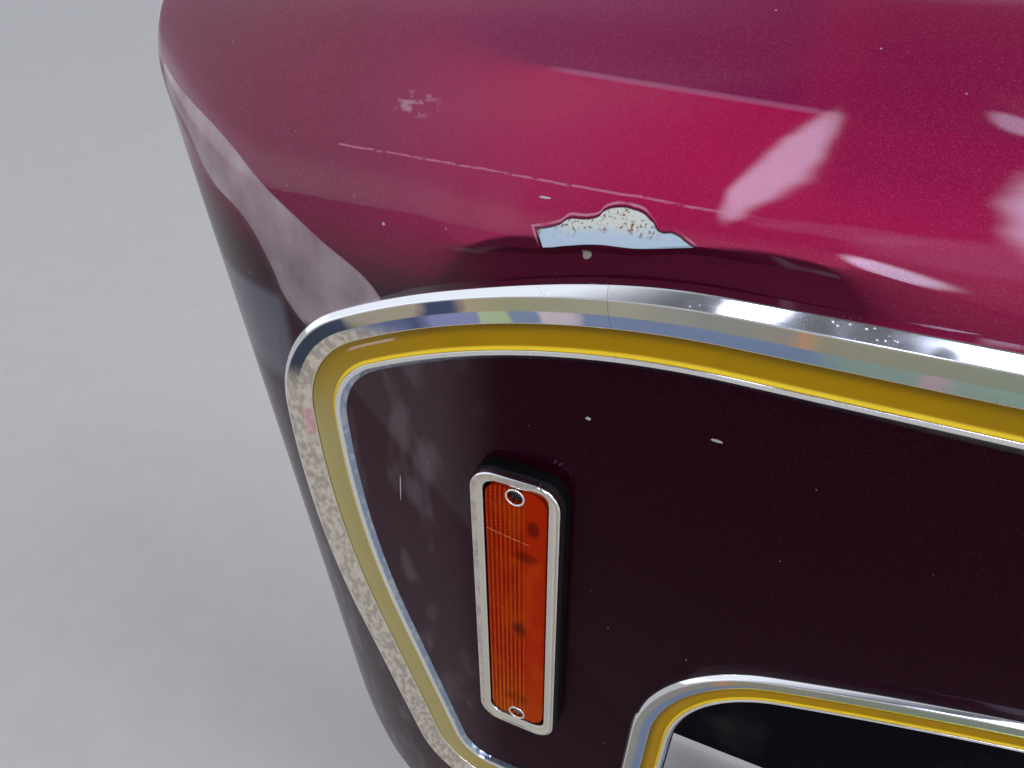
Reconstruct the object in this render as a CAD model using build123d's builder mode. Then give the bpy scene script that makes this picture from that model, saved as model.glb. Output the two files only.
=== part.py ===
from build123d import *
from math import acos, cos, degrees, hypot, radians, sin, sqrt, tan
import os

# Left front fender of a pickup truck, with its bright mouldings and side marker lamp.
# Millimetres. +X points to the rear of the truck, the outside faces -Y, +Z is up.
# The origin is on the underside of the hood flange, in the middle of its bolt row.

# Sheet metal
WALL = 2.0
HEM = 16.0
SEAT_GAP = 0.3

# Outline in side view: the front face and the rear edge are set off from the wheel opening
FRONT_LENGTH = 262.0
FRONT_REF_Z = -212.0
FRONT_LEAN = 6.8
REAR_LENGTH = 173.0
REAR_BOTTOM_Z = -650.0
FRONT_BOTTOM_Z = -535.0
FRONT_BOTTOM_R = 120.0
FRONT_BOTTOM_REACH = 12.0

# Section across the fender
SIDE_Y = -165.0
TUCK_TOP_Z = -470.0
TUCK_R = 636.0
TUCK_TURN = 22.0
CROWN_START_Z = -100.0
CROWN_R = 105.0
CROWN_TURN = 70.0
TOP_R = 330.0
GUTTER_Y = -27.0
FLANGE_IN_Y = 25.0
NOSE_L = 75.0
NOSE_DRAW = 30.0
NOSE_CROWN_R = 52.0
NOSE_STEPS = 4
FRONT_FLANGE = 37.0
FRONT_TIE_Z = -45.0
FRONT_CUT_R = 40.0

# Wheel opening
ARCH_X = 72.0
ARCH_HALF = 405.0
LEG_TOP_Z = -349.0
LEG_LEAN = 3.0
ARCH_CORNER_R = 65.0
ARCH_TOP_SLOPE = 18.0

# Upper moulding and the corner that turns down the front
MOULD_W = 34.0
MOULD_H = 8.5
MOULD_Z = -107.6
MOULD_END_GAP = 3.0
DROOP_SETBACK = 2.4
DROOP_R = 384.0
DROOP_TURN = 25.5
JOINT_TURN = 6.8
JOINT_GAP = 0.6
INSERT_T = 1.0
INSERT_GAP = 0.2
BEND_R = 52.0
DESCENT_R = 466.0
DESCENT_LEAN = 18.0
DROP = 352.4
FOOT_R = 38.0
TRIM_GAP = 1.0

# Wheel opening moulding and the lower mouldings
ARCH_MOULD_W = 22.0
ARCH_MOULD_H = 7.0
ARCH_MOULD_BOTTOM_Z = -480.0

# Side marker lamp
LAMP_SETBACK = 85.5
LAMP_Z = -285.0
LAMP_W = 45.0
LAMP_H = 188.0
LAMP_R = 12.0
PAD_T = 9.0
PAD_MARGIN = 1.0
BEZEL_T = 3.5
BEZEL_RIM = 6.5
LENS_GAP = 0.4
LENS_RECESS = 1.8
LENS_T = 6.0
HOUSING_DEPTH = 38.0
HOUSING_WALL = 2.0
HOLE_MARGIN = 5.0
SOCKET_R = 11.0
SOCKET_L = 26.0
BULB_R = 7.5
SCREW_R = 3.5
SCREW_SHANK_R = 2.0
SCREW_INSET = 11.5
SCREW_SEAT = 3.0
SCREW_HEAD = 2.4
SCREW_L = 20.0
SCREW_FIT = 0.1
SOCKET_FLANGE = 3.0
SOCKET_SIDES = 6
SOCKET_REACH = 9.0
PLUG_W = 17.0
PLUG_H = 12.0
WEDGE_W = 9.0
WEDGE_T = 3.0
BULB_NECK = 9.0
BEZEL_EDGE = 1.8
BEZEL_SLOPE = 2.4
LENS_EDGE = 0.8

# Bolt holes
FLANGE_HOLES = 4
FLANGE_PITCH = 300.0
FLANGE_HOLE_R = 5.0

# Brackets, brace and hood stops
BRACKET_T = 2.5
LINER_T = 1.5
LINER_BOTTOM_Z = -640.0
LINER_FRONT_Z = -530.0
AXLE_GAP_W = 260.0
AXLE_GAP_H = 170.0
AXLE_GAP_R = 60.0
BRACE_W = 50.0
BRACE_DEPTH = 26.0
BRACE_TOP_Z = -95.0
BRACE_BOTTOM_Z = -420.0
BRACE_HOLE_R = 14.0
BRACE_INSET = 10.0
BRACE_HOLES = 2
BRACE_PITCH = 95.0
BRACE_HOLE_INSET = 31.0
BRACE_BOLT_INSET = 9.0
BRACE_BOLT_PITCH = 190.0
REAR_BRACKET_L = 80.0
REAR_BRACKET_DROP = 62.0
REAR_BRACKET_INSET = 8.0
FOOT_BRACKET_L = 110.0
FOOT_BRACKET_W = 60.0
BRACKET_HOLE_R = 5.5
REAR_BRACKET_W = 44.0
BOLT_INSET = 14.0
FOOT_BRACKET_PITCH = 60.0
HEM_CLEAR = 4.0
STOP_FRONT_INSET = 80.0
STOP_REAR_INSET = 105.0
STOP_R = 9.0
STOP_H = 15.0
STOP_STEM_R = 4.0
STOP_STEM = 6.0

os.makedirs("parts", exist_ok=True)

# Places that follow from the sizes
FRONT_X = ARCH_X - ARCH_HALF - FRONT_LENGTH
REAR_X = ARCH_X + ARCH_HALF + REAR_LENGTH
DROOP_X = ARCH_X - ARCH_HALF - DROOP_SETBACK
LAMP_X = ARCH_X - ARCH_HALF - LAMP_SETBACK
QUARTER = 90.0

# Lengths that only need to reach past the panel
FAR = 400.0
THROUGH = 30.0

lean = radians(FRONT_LEAN)
front_normal = (cos(lean), 0, sin(lean))
front_plane = Plane(origin=(FRONT_X, 0, FRONT_REF_Z), x_dir=(0, 1, 0), z_dir=front_normal)


def front_x(z):
    """X of the flat front face at a height."""
    return FRONT_X + (FRONT_REF_Z - z) * tan(lean)


def nose_plane(share):
    """Plane with the slope of the front face, over the nose: 0 at its rear, 1 at the front."""
    x = front_x(0) + NOSE_L * (1 - share)
    return Plane(origin=(x, 0, 0), x_dir=(0, 1, 0), z_dir=front_normal)


def along_front(z):
    """Distance up the slanting front face, from its reference height."""
    return (z - FRONT_REF_Z) / cos(lean)


def save(piece, name):
    piece.part.label = name
    export_step(piece.part, f"parts/{name}.step")


def section(inset, share=0.0):
    """Face across the fender: all that lies under the skin, drawn in by inset.

    Share runs from 0 where the nose begins to bend in to 1 at the front face.
    """
    inset *= hypot(1, 2 * NOSE_DRAW * share / NOSE_L)
    side = SIDE_Y + NOSE_DRAW * share**2
    crown_r = CROWN_R + (NOSE_CROWN_R - CROWN_R) * share**2
    top_y = SIDE_Y + CROWN_R + (TOP_R - CROWN_R) * cos(radians(CROWN_TURN))
    top_z = CROWN_START_Z - (TOP_R - CROWN_R) * sin(radians(CROWN_TURN))
    reach = top_y - side - crown_r
    turn = degrees(acos(reach / (TOP_R - crown_r)))
    start_z = top_z + sqrt((TOP_R - crown_r) ** 2 - reach**2)
    with BuildSketch(Plane.XY) as sk:
        with BuildLine():
            Line((side + inset, TUCK_TOP_Z), (side + inset, start_z))
            crown = JernArc((side + inset, start_z), (0, 1), crown_r - inset, -turn)
            top = JernArc(crown @ 1, crown % 1, TOP_R - inset, turn - QUARTER)
            tuck = JernArc((side + inset, TUCK_TOP_Z), (0, -1), TUCK_R - inset, TUCK_TURN)
            Polyline(top @ 1, (FAR, (top @ 1).Y), (FAR, (tuck @ 1).Y), tuck @ 1)
        make_face()
    return sk.sketch


def envelope(inset):
    """Solid under the skin, with its nose bent in and the gutter cut."""
    stations = []
    for share in [i / NOSE_STEPS for i in range(NOSE_STEPS + 1)]:
        leaning = scale(section(inset, share), by=(1, 1 / cos(lean), 1))
        stations.append(nose_plane(share) * leaning)
    with BuildPart() as solid:
        body = Plane.YZ.offset(FRONT_X - THROUGH) * section(inset)
        extrude(body, amount=REAR_X - FRONT_X + THROUGH * 2)
        split(bisect_by=nose_plane(0), keep=Keep.TOP)
        loft(stations)
        split(bisect_by=front_plane.offset(inset), keep=Keep.TOP)
        with BuildSketch(Plane.XY.offset(WALL - inset)):
            with Locations((0, GUTTER_Y - inset)):
                Rectangle(FAR * 5, FAR * 2, align=(Align.CENTER, Align.MIN))
        extrude(amount=FAR, mode=Mode.SUBTRACT)
    return solid.part


def arch_line(grow, rear_z, front_z):
    """Edge of the wheel opening from the rear leg over the top to the front leg."""
    leg = radians(LEG_LEAN)
    slope = radians(ARCH_TOP_SLOPE)
    corner_turn = 90 - LEG_LEAN - ARCH_TOP_SLOPE
    top_r = (ARCH_HALF - ARCH_CORNER_R * (cos(leg) - sin(slope))) / sin(slope)
    out_x, out_z = grow * cos(leg), grow * sin(leg)
    rear_top = (ARCH_X + ARCH_HALF + out_x, LEG_TOP_Z + out_z)
    front_top = (ARCH_X - ARCH_HALF - out_x, LEG_TOP_Z + out_z)
    rear_foot = (rear_top[0] + (rear_top[1] - rear_z) * tan(leg), rear_z)
    front_foot = (front_top[0] - (front_top[1] - front_z) * tan(leg), front_z)
    Line(rear_foot, rear_top)
    rear = JernArc(rear_top, (-sin(leg), cos(leg)), ARCH_CORNER_R + grow, corner_turn)
    top = JernArc(rear @ 1, rear % 1, top_r + grow, 2 * ARCH_TOP_SLOPE)
    JernArc(top @ 1, top % 1, ARCH_CORNER_R + grow, corner_turn)
    Line(front_top, front_foot)
    return rear_foot, front_foot


def side_outline(inset):
    """Outline of the panel in side view with the wheel opening cut out."""
    bottom = REAR_BOTTOM_Z + inset
    front_bottom = FRONT_BOTTOM_Z + inset
    reach = FRONT_BOTTOM_REACH / cos(lean)
    with BuildSketch(Plane.XZ) as sk:
        with BuildLine():
            Polyline(
                (front_x(THROUGH) - reach - THROUGH, THROUGH * 2),
                (REAR_X - inset, THROUGH * 2),
                (REAR_X - inset, bottom),
                (ARCH_X, bottom),
                (ARCH_X, front_bottom),
                (front_x(front_bottom) - reach, front_bottom),
                (front_x(THROUGH) - reach, THROUGH),
                close=True,
            )
        make_face()
        corner = sk.vertices().sort_by_distance(
            (front_x(front_bottom) - reach, 0, front_bottom)
        )[0]
        fillet(corner, FRONT_BOTTOM_R - inset)
        with BuildLine():
            rear_foot, front_foot = arch_line(inset, bottom - THROUGH, bottom - THROUGH)
            Line(rear_foot, front_foot)
        make_face(mode=Mode.SUBTRACT)
    return sk.sketch


stop_xs = (front_x(0) + STOP_FRONT_INSET, REAR_X - STOP_REAR_INSET)

# The panel: skin, front return, gutter and bolt flange, hem round every free edge
flange_edge = Plane.XZ.offset(-FLANGE_IN_Y)
outer = envelope(0)
inner = envelope(WALL)
deep = envelope(HEM)
with BuildPart() as hem:
    add(outer)
    split(bisect_by=flange_edge, keep=Keep.TOP)
    add(deep, mode=Mode.SUBTRACT)
    extrude(side_outline(0), amount=FAR, both=True, mode=Mode.INTERSECT)
    extrude(side_outline(WALL), amount=FAR, both=True, mode=Mode.SUBTRACT)
with BuildPart() as skin:
    add(outer)
    split(bisect_by=flange_edge, keep=Keep.TOP)
    add(inner, mode=Mode.SUBTRACT)
    extrude(side_outline(0), amount=FAR, both=True, mode=Mode.INTERSECT)
    add(hem.part)
    with BuildSketch(front_plane):
        cut_y = SIDE_Y + NOSE_DRAW + FRONT_FLANGE
        with Locations((cut_y, along_front(FRONT_TIE_Z))):
            RectangleRounded(FAR, FAR * 2, FRONT_CUT_R, align=(Align.MIN, Align.MAX))
    extrude(amount=THROUGH, both=True, mode=Mode.SUBTRACT)
    with Locations(Plane.XY.offset(WALL)):
        with GridLocations(FLANGE_PITCH, 1, FLANGE_HOLES, 1):
            Hole(FLANGE_HOLE_R, depth=WALL * 2)
        with Locations(*[(x, 0) for x in stop_xs]):
            Hole(STOP_STEM_R, depth=WALL * 2)
    with BuildSketch(Plane.XZ.offset(-SIDE_Y)):
        with Locations((LAMP_X, LAMP_Z)):
            RectangleRounded(
                LAMP_W - HOLE_MARGIN, LAMP_H - HOLE_MARGIN, LAMP_R - HOLE_MARGIN / 2
            )
    extrude(amount=THROUGH, both=True, mode=Mode.SUBTRACT)
save(skin, "fender_skin")


# Section of a moulding, from its outer lip (0) to its inner edge (1), and up its height
LIP_AT, LIP_UP = 0.08, 0.70
BREAK_AT, BREAK_UP = 0.27, 0.90
CHANNEL_FROM, CHANNEL_TO = 0.47, 0.84
CHANNEL_TOP, CHANNEL_FLOOR = 0.62, 0.27
INNER_CREST_AT, INNER_CREST_UP = 0.90, 0.50
INNER_FOOT = 0.15

trim_y = SIDE_Y - SEAT_GAP
trim_plane = Plane.XZ.offset(-trim_y)


def across(path):
    """Plane square to a path at its start, with its own Y pointing off the panel."""
    along = path % 0
    return Plane(origin=path @ 0, x_dir=Vector(0, -1, 0).cross(along), z_dir=along)


def moulding_face(path, width, height):
    """Bright strip with a raised lip, a sloping face and a sunk channel."""
    left = -width / 2
    with BuildSketch(across(path)) as sk:
        with BuildLine():
            Polyline(
                (left, 0),
                (left, LIP_UP * height),
                (left + LIP_AT * width, height),
                (left + BREAK_AT * width, BREAK_UP * height),
                (left + CHANNEL_FROM * width, CHANNEL_TOP * height),
                (left + CHANNEL_FROM * width, CHANNEL_FLOOR * height),
                (left + CHANNEL_TO * width, CHANNEL_FLOOR * height),
                (left + CHANNEL_TO * width, INNER_CREST_UP * height),
                (left + INNER_CREST_AT * width, INNER_CREST_UP * height),
                (-left, INNER_FOOT * height),
                (-left, 0),
                close=True,
            )
        make_face()
    return sk.sketch


def insert_face(path, width, height):
    """Painted strip that lies on the floor of the channel."""
    left = -width / 2
    with BuildSketch(across(path)) as sk:
        with BuildLine():
            low = CHANNEL_FLOOR * height
            start = left + CHANNEL_FROM * width + INSERT_GAP
            end = left + CHANNEL_TO * width - INSERT_GAP
            Polyline(
                (start, low), (end, low), (end, low + INSERT_T), (start, low + INSERT_T),
                close=True,
            )
        make_face()
    return sk.sketch


def trim(path, width, height, name):
    """One moulding and its painted insert along a flat path on the panel."""
    with BuildPart() as strip:
        add(moulding_face(path, width, height))
        sweep(path=path)
    with BuildPart() as insert:
        add(insert_face(path, width, height))
        sweep(path=path)
    save(strip, f"moulding_{name}")
    save(insert, f"insert_{name}")


# Upper moulding, from the door gap to the joint with the corner piece
with BuildLine(trim_plane) as upper:
    run = Line((REAR_X - MOULD_END_GAP, MOULD_Z), (DROOP_X, MOULD_Z))
    JernArc(run @ 1, (-1, 0), DROOP_R, JOINT_TURN)
trim(upper.wires()[0], MOULD_W, MOULD_H, "upper")

# Corner moulding, over the front corner, down the front and back to the wheel opening
arch_outer = ARCH_HALF + ARCH_MOULD_W / cos(radians(LEG_LEAN))
foot_z = MOULD_Z - DROP
leg_reach = arch_outer + (LEG_TOP_Z - foot_z) * tan(radians(LEG_LEAN))
with BuildLine(trim_plane) as corner:
    gap_turn = degrees(JOINT_GAP / DROOP_R)
    skipped = JernArc(
        (DROOP_X, MOULD_Z), (-1, 0), DROOP_R, JOINT_TURN + gap_turn, mode=Mode.PRIVATE
    )
    droop = JernArc(skipped @ 1, skipped % 1, DROOP_R, DROOP_TURN - JOINT_TURN - gap_turn)
    bend = JernArc(droop @ 1, droop % 1, BEND_R, 90 - DROOP_TURN)
    swing = JernArc(bend @ 1, bend % 1, DESCENT_R, DESCENT_LEAN)
    foot_turn = radians(90 - DESCENT_LEAN)
    foot_drop = FOOT_R * (1 - cos(foot_turn))
    fall = ((swing @ 1).Z - foot_z - foot_drop) / cos(radians(DESCENT_LEAN))
    descent = PolarLine(swing @ 1, fall, direction=swing % 1)
    foot = JernArc(descent @ 1, swing % 1, FOOT_R, degrees(foot_turn))
    Line(foot @ 1, Vector(ARCH_X - leg_reach - TRIM_GAP, trim_y, foot_z))
trim(corner.wires()[0], MOULD_W, MOULD_H, "corner")

# Wheel opening moulding
with BuildLine(trim_plane) as arch:
    arch_line(ARCH_MOULD_W / 2, ARCH_MOULD_BOTTOM_Z, ARCH_MOULD_BOTTOM_Z)
trim(arch.wires()[0], ARCH_MOULD_W, ARCH_MOULD_H, "arch")

# Lower moulding behind the wheel
with BuildLine(trim_plane) as lower_rear:
    Line((ARCH_X + leg_reach + TRIM_GAP, foot_z), (REAR_X - MOULD_END_GAP, foot_z))
trim(lower_rear.wires()[0], MOULD_W, MOULD_H, "lower_rear")

# Side marker lamp, built outwards from the panel
lamp_plane = Plane(origin=(LAMP_X, trim_y, LAMP_Z), x_dir=(1, 0, 0), z_dir=(0, -1, 0))
open_w, open_h = LAMP_W - 2 * BEZEL_RIM, LAMP_H - 2 * BEZEL_RIM
open_r = LAMP_R - BEZEL_RIM / 2
lens_w, lens_h = open_w - 2 * LENS_GAP, open_h - 2 * LENS_GAP
lens_r = open_r - LENS_GAP
lens_top = PAD_T + BEZEL_T - LENS_RECESS
lens_low = lens_top - LENS_T
screw_y = LAMP_H / 2 - SCREW_INSET
post = 2 * (SCREW_SHANK_R + HOUSING_WALL)

with BuildPart() as pad:
    with BuildSketch(lamp_plane):
        RectangleRounded(LAMP_W + 2 * PAD_MARGIN, LAMP_H + 2 * PAD_MARGIN, LAMP_R + PAD_MARGIN)
        RectangleRounded(open_w, open_h, open_r, mode=Mode.SUBTRACT)
    extrude(amount=PAD_T)
save(pad, "lamp_pad")

with BuildPart() as bezel:
    with BuildSketch(lamp_plane.offset(PAD_T)):
        RectangleRounded(LAMP_W, LAMP_H, LAMP_R)
        RectangleRounded(open_w, open_h, open_r, mode=Mode.SUBTRACT)
    extrude(amount=BEZEL_T)
    chamfer(bezel.faces().sort_by(Axis.Y)[0].outer_wire().edges(), BEZEL_EDGE)
    chamfer(bezel.faces().sort_by(Axis.Y)[0].inner_wires()[0].edges(), BEZEL_SLOPE)
save(bezel, "lamp_bezel")

with BuildPart() as lens:
    with BuildSketch(lamp_plane.offset(lens_low)):
        RectangleRounded(lens_w, lens_h, lens_r)
    extrude(amount=LENS_T)
    chamfer(lens.faces().sort_by(Axis.Y)[0].edges(), LENS_EDGE)
    with Locations(lamp_plane.offset(lens_top)):
        with Locations((0, screw_y), (0, -screw_y)):
            CounterBoreHole(SCREW_SHANK_R, SCREW_R + LENS_GAP, SCREW_SEAT, depth=LENS_T)
save(lens, "lamp_lens")

with BuildPart() as housing:
    with BuildSketch(lamp_plane.offset(lens_low - HOUSING_DEPTH)):
        RectangleRounded(lens_w, lens_h, lens_r)
    extrude(amount=HOUSING_DEPTH)
    with BuildSketch(lamp_plane.offset(lens_low)):
        RectangleRounded(
            lens_w - 2 * HOUSING_WALL, lens_h - 2 * HOUSING_WALL, lens_r - HOUSING_WALL / 2
        )
        with Locations((0, screw_y), (0, -screw_y)):
            Rectangle(post, post, mode=Mode.SUBTRACT)
    extrude(amount=HOUSING_WALL - HOUSING_DEPTH, mode=Mode.SUBTRACT)
    with Locations(lamp_plane.offset(lens_low)):
        with Locations((0, screw_y), (0, -screw_y)):
            Hole(SCREW_SHANK_R, depth=SCREW_L)
        Hole(SOCKET_R + LENS_GAP / 2, depth=HOUSING_DEPTH * 2)
save(housing, "lamp_housing")

with BuildPart() as screws:
    with Locations(lamp_plane.offset(lens_top - SCREW_SEAT)):
        with Locations((0, screw_y), (0, -screw_y)):
            Cylinder(SCREW_R, SCREW_HEAD, align=(Align.CENTER, Align.CENTER, Align.MIN))
            Cylinder(
                SCREW_SHANK_R - SCREW_FIT, SCREW_L,
                align=(Align.CENTER, Align.CENTER, Align.MAX),
            )
save(screws, "lamp_screws")

with BuildPart() as socket:
    with BuildSketch(lamp_plane.offset(lens_low - HOUSING_DEPTH - SOCKET_FLANGE)):
        RegularPolygon(SOCKET_R + SOCKET_FLANGE, SOCKET_SIDES)
    extrude(amount=SOCKET_FLANGE)
    with BuildSketch(lamp_plane.offset(lens_low - HOUSING_DEPTH - SOCKET_L)):
        Rectangle(PLUG_W, PLUG_H)
    extrude(amount=SOCKET_L)
    with BuildSketch(lamp_plane.offset(lens_low - HOUSING_DEPTH)):
        Circle(SOCKET_R)
    extrude(amount=SOCKET_REACH)
    with BuildSketch(lamp_plane.offset(lens_low - HOUSING_DEPTH)):
        Rectangle(WEDGE_W, WEDGE_T)
    extrude(amount=SOCKET_REACH, mode=Mode.SUBTRACT)
save(socket, "lamp_socket")

with BuildPart() as bulb:
    with BuildSketch(lamp_plane.offset(lens_low - HOUSING_DEPTH)):
        Rectangle(WEDGE_W, WEDGE_T)
    extrude(amount=SOCKET_REACH + BULB_NECK)
    with Locations(lamp_plane.offset(lens_low - HOUSING_DEPTH + SOCKET_REACH + BULB_NECK)):
        Cylinder(BULB_R, BULB_R * 2)
save(bulb, "lamp_bulb")

# Brace behind the front return, an angle with lightening holes
brace_plane = front_plane.offset(WALL)
brace_low = along_front(BRACE_BOTTOM_Z)
brace_high = along_front(BRACE_TOP_Z)
brace_y = SIDE_Y + NOSE_DRAW + BRACE_INSET
with BuildPart() as brace:
    with BuildSketch(brace_plane):
        with Locations((brace_y, brace_low)):
            Rectangle(BRACE_W, brace_high - brace_low, align=(Align.MIN, Align.MIN))
        with Locations((brace_y + BRACE_HOLE_INSET, (brace_high + brace_low) / 2)):
            with GridLocations(1, BRACE_PITCH, 1, BRACE_HOLES):
                Circle(BRACE_HOLE_R, mode=Mode.SUBTRACT)
        with Locations((brace_y + BRACE_BOLT_INSET, (brace_high + brace_low) / 2)):
            with GridLocations(1, BRACE_BOLT_PITCH, 1, 2):
                Circle(BRACKET_HOLE_R, mode=Mode.SUBTRACT)
    extrude(amount=BRACKET_T)
    with BuildSketch(brace_plane):
        with Locations((brace_y + BRACE_W, brace_low)):
            Rectangle(BRACKET_T, brace_high - brace_low, align=(Align.MAX, Align.MIN))
    extrude(amount=BRACE_DEPTH)
save(brace, "front_brace")

# Upper rear bracket, an angle under the bolt flange that drops to the cowl
with BuildPart() as upper_bracket:
    with BuildSketch(Plane.XZ.offset(-FLANGE_IN_Y)):
        with BuildLine():
            rear = REAR_X - WALL - REAR_BRACKET_INSET
            outline = Polyline(
                (rear - REAR_BRACKET_L, 0), (rear, 0), (rear, -REAR_BRACKET_DROP)
            )
            offset(outline, BRACKET_T, side=Side.RIGHT)
        make_face()
    extrude(amount=REAR_BRACKET_W)
    with Locations(Plane.YZ.offset(rear)):
        with Locations((FLANGE_IN_Y - REAR_BRACKET_W / 2, -REAR_BRACKET_DROP + BOLT_INSET)):
            Hole(BRACKET_HOLE_R, depth=BRACKET_T * 3)
save(upper_bracket, "bracket_rear_upper")

# Lower rear bracket, an angle on the bottom hem that bolts to the rocker
foot_skin_y = SIDE_Y + TUCK_R - (TUCK_R**2 - (TUCK_TOP_Z - REAR_BOTTOM_Z) ** 2) ** 0.5
with BuildPart() as foot_bracket:
    with BuildSketch(Plane.XY.offset(REAR_BOTTOM_Z + WALL)):
        with Locations((REAR_X - WALL - SEAT_GAP, foot_skin_y + HEM_CLEAR)):
            Rectangle(FOOT_BRACKET_L, FOOT_BRACKET_W, align=(Align.MAX, Align.MIN))
        with Locations(
            (REAR_X - WALL - FOOT_BRACKET_L / 2, foot_skin_y + FOOT_BRACKET_W - BOLT_INSET)
        ):
            with GridLocations(FOOT_BRACKET_PITCH, 1, 2, 1):
                Circle(BRACKET_HOLE_R, mode=Mode.SUBTRACT)
    extrude(amount=BRACKET_T)
save(foot_bracket, "bracket_rear_lower")

# Wheelhouse: a liner over the wheel, seated behind the hem, and its wall inboard
liner_in = WALL + SEAT_GAP
liner_out = liner_in + LINER_T
under_skin = envelope(liner_in)
with BuildPart() as liner:
    with BuildSketch(flange_edge):
        with BuildLine():
            rear_foot, front_foot = arch_line(liner_out, LINER_BOTTOM_Z, LINER_FRONT_Z)
            Line(rear_foot, front_foot)
        make_face()
        with BuildLine():
            low = LINER_BOTTOM_Z - THROUGH
            rear_foot, front_foot = arch_line(liner_in, low, low)
            Line(rear_foot, front_foot)
        make_face(mode=Mode.SUBTRACT)
    extrude(amount=FLANGE_IN_Y - SIDE_Y)
    add(under_skin, mode=Mode.INTERSECT)
    with BuildSketch(flange_edge):
        with BuildLine():
            rear_foot, front_foot = arch_line(liner_out, LINER_BOTTOM_Z, LINER_BOTTOM_Z)
            Line(rear_foot, front_foot)
        make_face()
        with Locations((ARCH_X, LINER_BOTTOM_Z)):
            RectangleRounded(AXLE_GAP_W, AXLE_GAP_H * 2, AXLE_GAP_R, mode=Mode.SUBTRACT)
    extrude(amount=LINER_T)
save(liner, "wheelhouse_liner")

# Rubber stops for the hood, with stems through the bolt flange
with BuildPart() as stops:
    with Locations(*[(x, 0, WALL) for x in stop_xs]):
        Cylinder(STOP_R, STOP_H, align=(Align.CENTER, Align.CENTER, Align.MIN))
        Cylinder(STOP_STEM_R, WALL + STOP_STEM, align=(Align.CENTER, Align.CENTER, Align.MAX))
save(stops, "hood_stops")
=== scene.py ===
from math import acos, asin, cos, degrees, hypot, pi, radians, sin, sqrt, tan

import bmesh
import bpy
from mathutils import Matrix, Vector


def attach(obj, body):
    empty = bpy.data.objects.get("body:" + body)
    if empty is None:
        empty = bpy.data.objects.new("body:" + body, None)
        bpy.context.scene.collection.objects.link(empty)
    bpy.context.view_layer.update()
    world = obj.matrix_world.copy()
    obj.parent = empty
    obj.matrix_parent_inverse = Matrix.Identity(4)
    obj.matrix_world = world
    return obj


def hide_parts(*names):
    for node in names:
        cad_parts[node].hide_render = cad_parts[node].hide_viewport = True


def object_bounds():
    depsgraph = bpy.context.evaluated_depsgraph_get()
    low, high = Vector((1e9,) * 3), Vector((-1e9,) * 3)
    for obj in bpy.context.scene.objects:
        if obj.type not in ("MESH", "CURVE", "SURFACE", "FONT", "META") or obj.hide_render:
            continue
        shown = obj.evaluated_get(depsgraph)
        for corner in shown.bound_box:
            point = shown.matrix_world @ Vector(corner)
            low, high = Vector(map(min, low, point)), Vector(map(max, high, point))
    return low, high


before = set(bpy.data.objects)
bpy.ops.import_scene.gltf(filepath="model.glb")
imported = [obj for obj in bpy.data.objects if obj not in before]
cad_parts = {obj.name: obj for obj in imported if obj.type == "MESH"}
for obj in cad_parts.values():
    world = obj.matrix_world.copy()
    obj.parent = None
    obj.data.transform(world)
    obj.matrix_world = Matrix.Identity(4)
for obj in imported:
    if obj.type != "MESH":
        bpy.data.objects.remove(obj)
cad_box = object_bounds()

# Metres. +X to the rear of the truck, the outside faces -Y, +Z up.
MM = 0.001

# Panel, as the CAD has it
WALL = 2 * MM
HEM = 16 * MM
SIDE_Y = -165 * MM
FRONT_X = -595 * MM
FRONT_REF_Z = -212 * MM
FRONT_LEAN = radians(6.8)
REAR_X = 650 * MM
REAR_BOTTOM_Z = -650 * MM
FRONT_BOTTOM_Z = -535 * MM
FRONT_BOTTOM_R = 120 * MM
FRONT_BOTTOM_REACH = 12 * MM
TUCK_TOP_Z = -470 * MM
TUCK_R = 636 * MM
CROWN_START_Z = -100 * MM
CROWN_R = 105 * MM
CROWN_TURN = radians(70)
TOP_R = 330 * MM
GUTTER_Y = -27 * MM
FLANGE_IN_Y = 25 * MM
NOSE_L, NOSE_DRAW, NOSE_CROWN_R = 75 * MM, 30 * MM, 52 * MM
FOLD_R = 2.2 * MM
FRONT_FLANGE = 37 * MM
FRONT_TIE_Z, FRONT_CUT_R = -45 * MM, 40 * MM
BOLT_XS, BOLT_HOLE_R = (-450 * MM, -150 * MM, 150 * MM, 450 * MM), 5 * MM
STOP_XS, STOP_HOLE_R = (-540.3 * MM, 545 * MM), 4 * MM
CUT_REACH_X, CUT_REACH_Y, CUT_REACH_Z = 700 * MM, 300 * MM, 80 * MM

# Wheel opening, as the CAD has it
ARCH_X = 72 * MM
ARCH_HALF = 405 * MM
LEG_TOP_Z = -349 * MM
LEG_LEAN = radians(3)
ARCH_CORNER_R = 65 * MM
ARCH_TOP_SLOPE = radians(18)

# Mouldings, as the CAD has them
TRIM_Y = SIDE_Y - 0.3 * MM
MOULD_W, MOULD_H = 34 * MM, 8.5 * MM
MOULD_Z = -107.6 * MM
MOULD_END_X = REAR_X - 3 * MM
DROOP_X, DROOP_R, DROOP_TURN = -335.4 * MM, 384 * MM, radians(25.5)
JOINT_TURN = radians(6.8)
JOINT_GAP = 0.1 * MM
BEND_R = 52 * MM
DESCENT_R, DESCENT_LEAN = 466 * MM, radians(18)
DROP = 352.4 * MM
FOOT_R = 38 * MM
TRIM_GAP = 1 * MM
LIP_REACH, FOOT_REACH = 3.4 * MM, 1.2 * MM
ARCH_MOULD_W, ARCH_MOULD_H = 22 * MM, 7 * MM
ARCH_MOULD_BOTTOM_Z = -480 * MM

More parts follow.
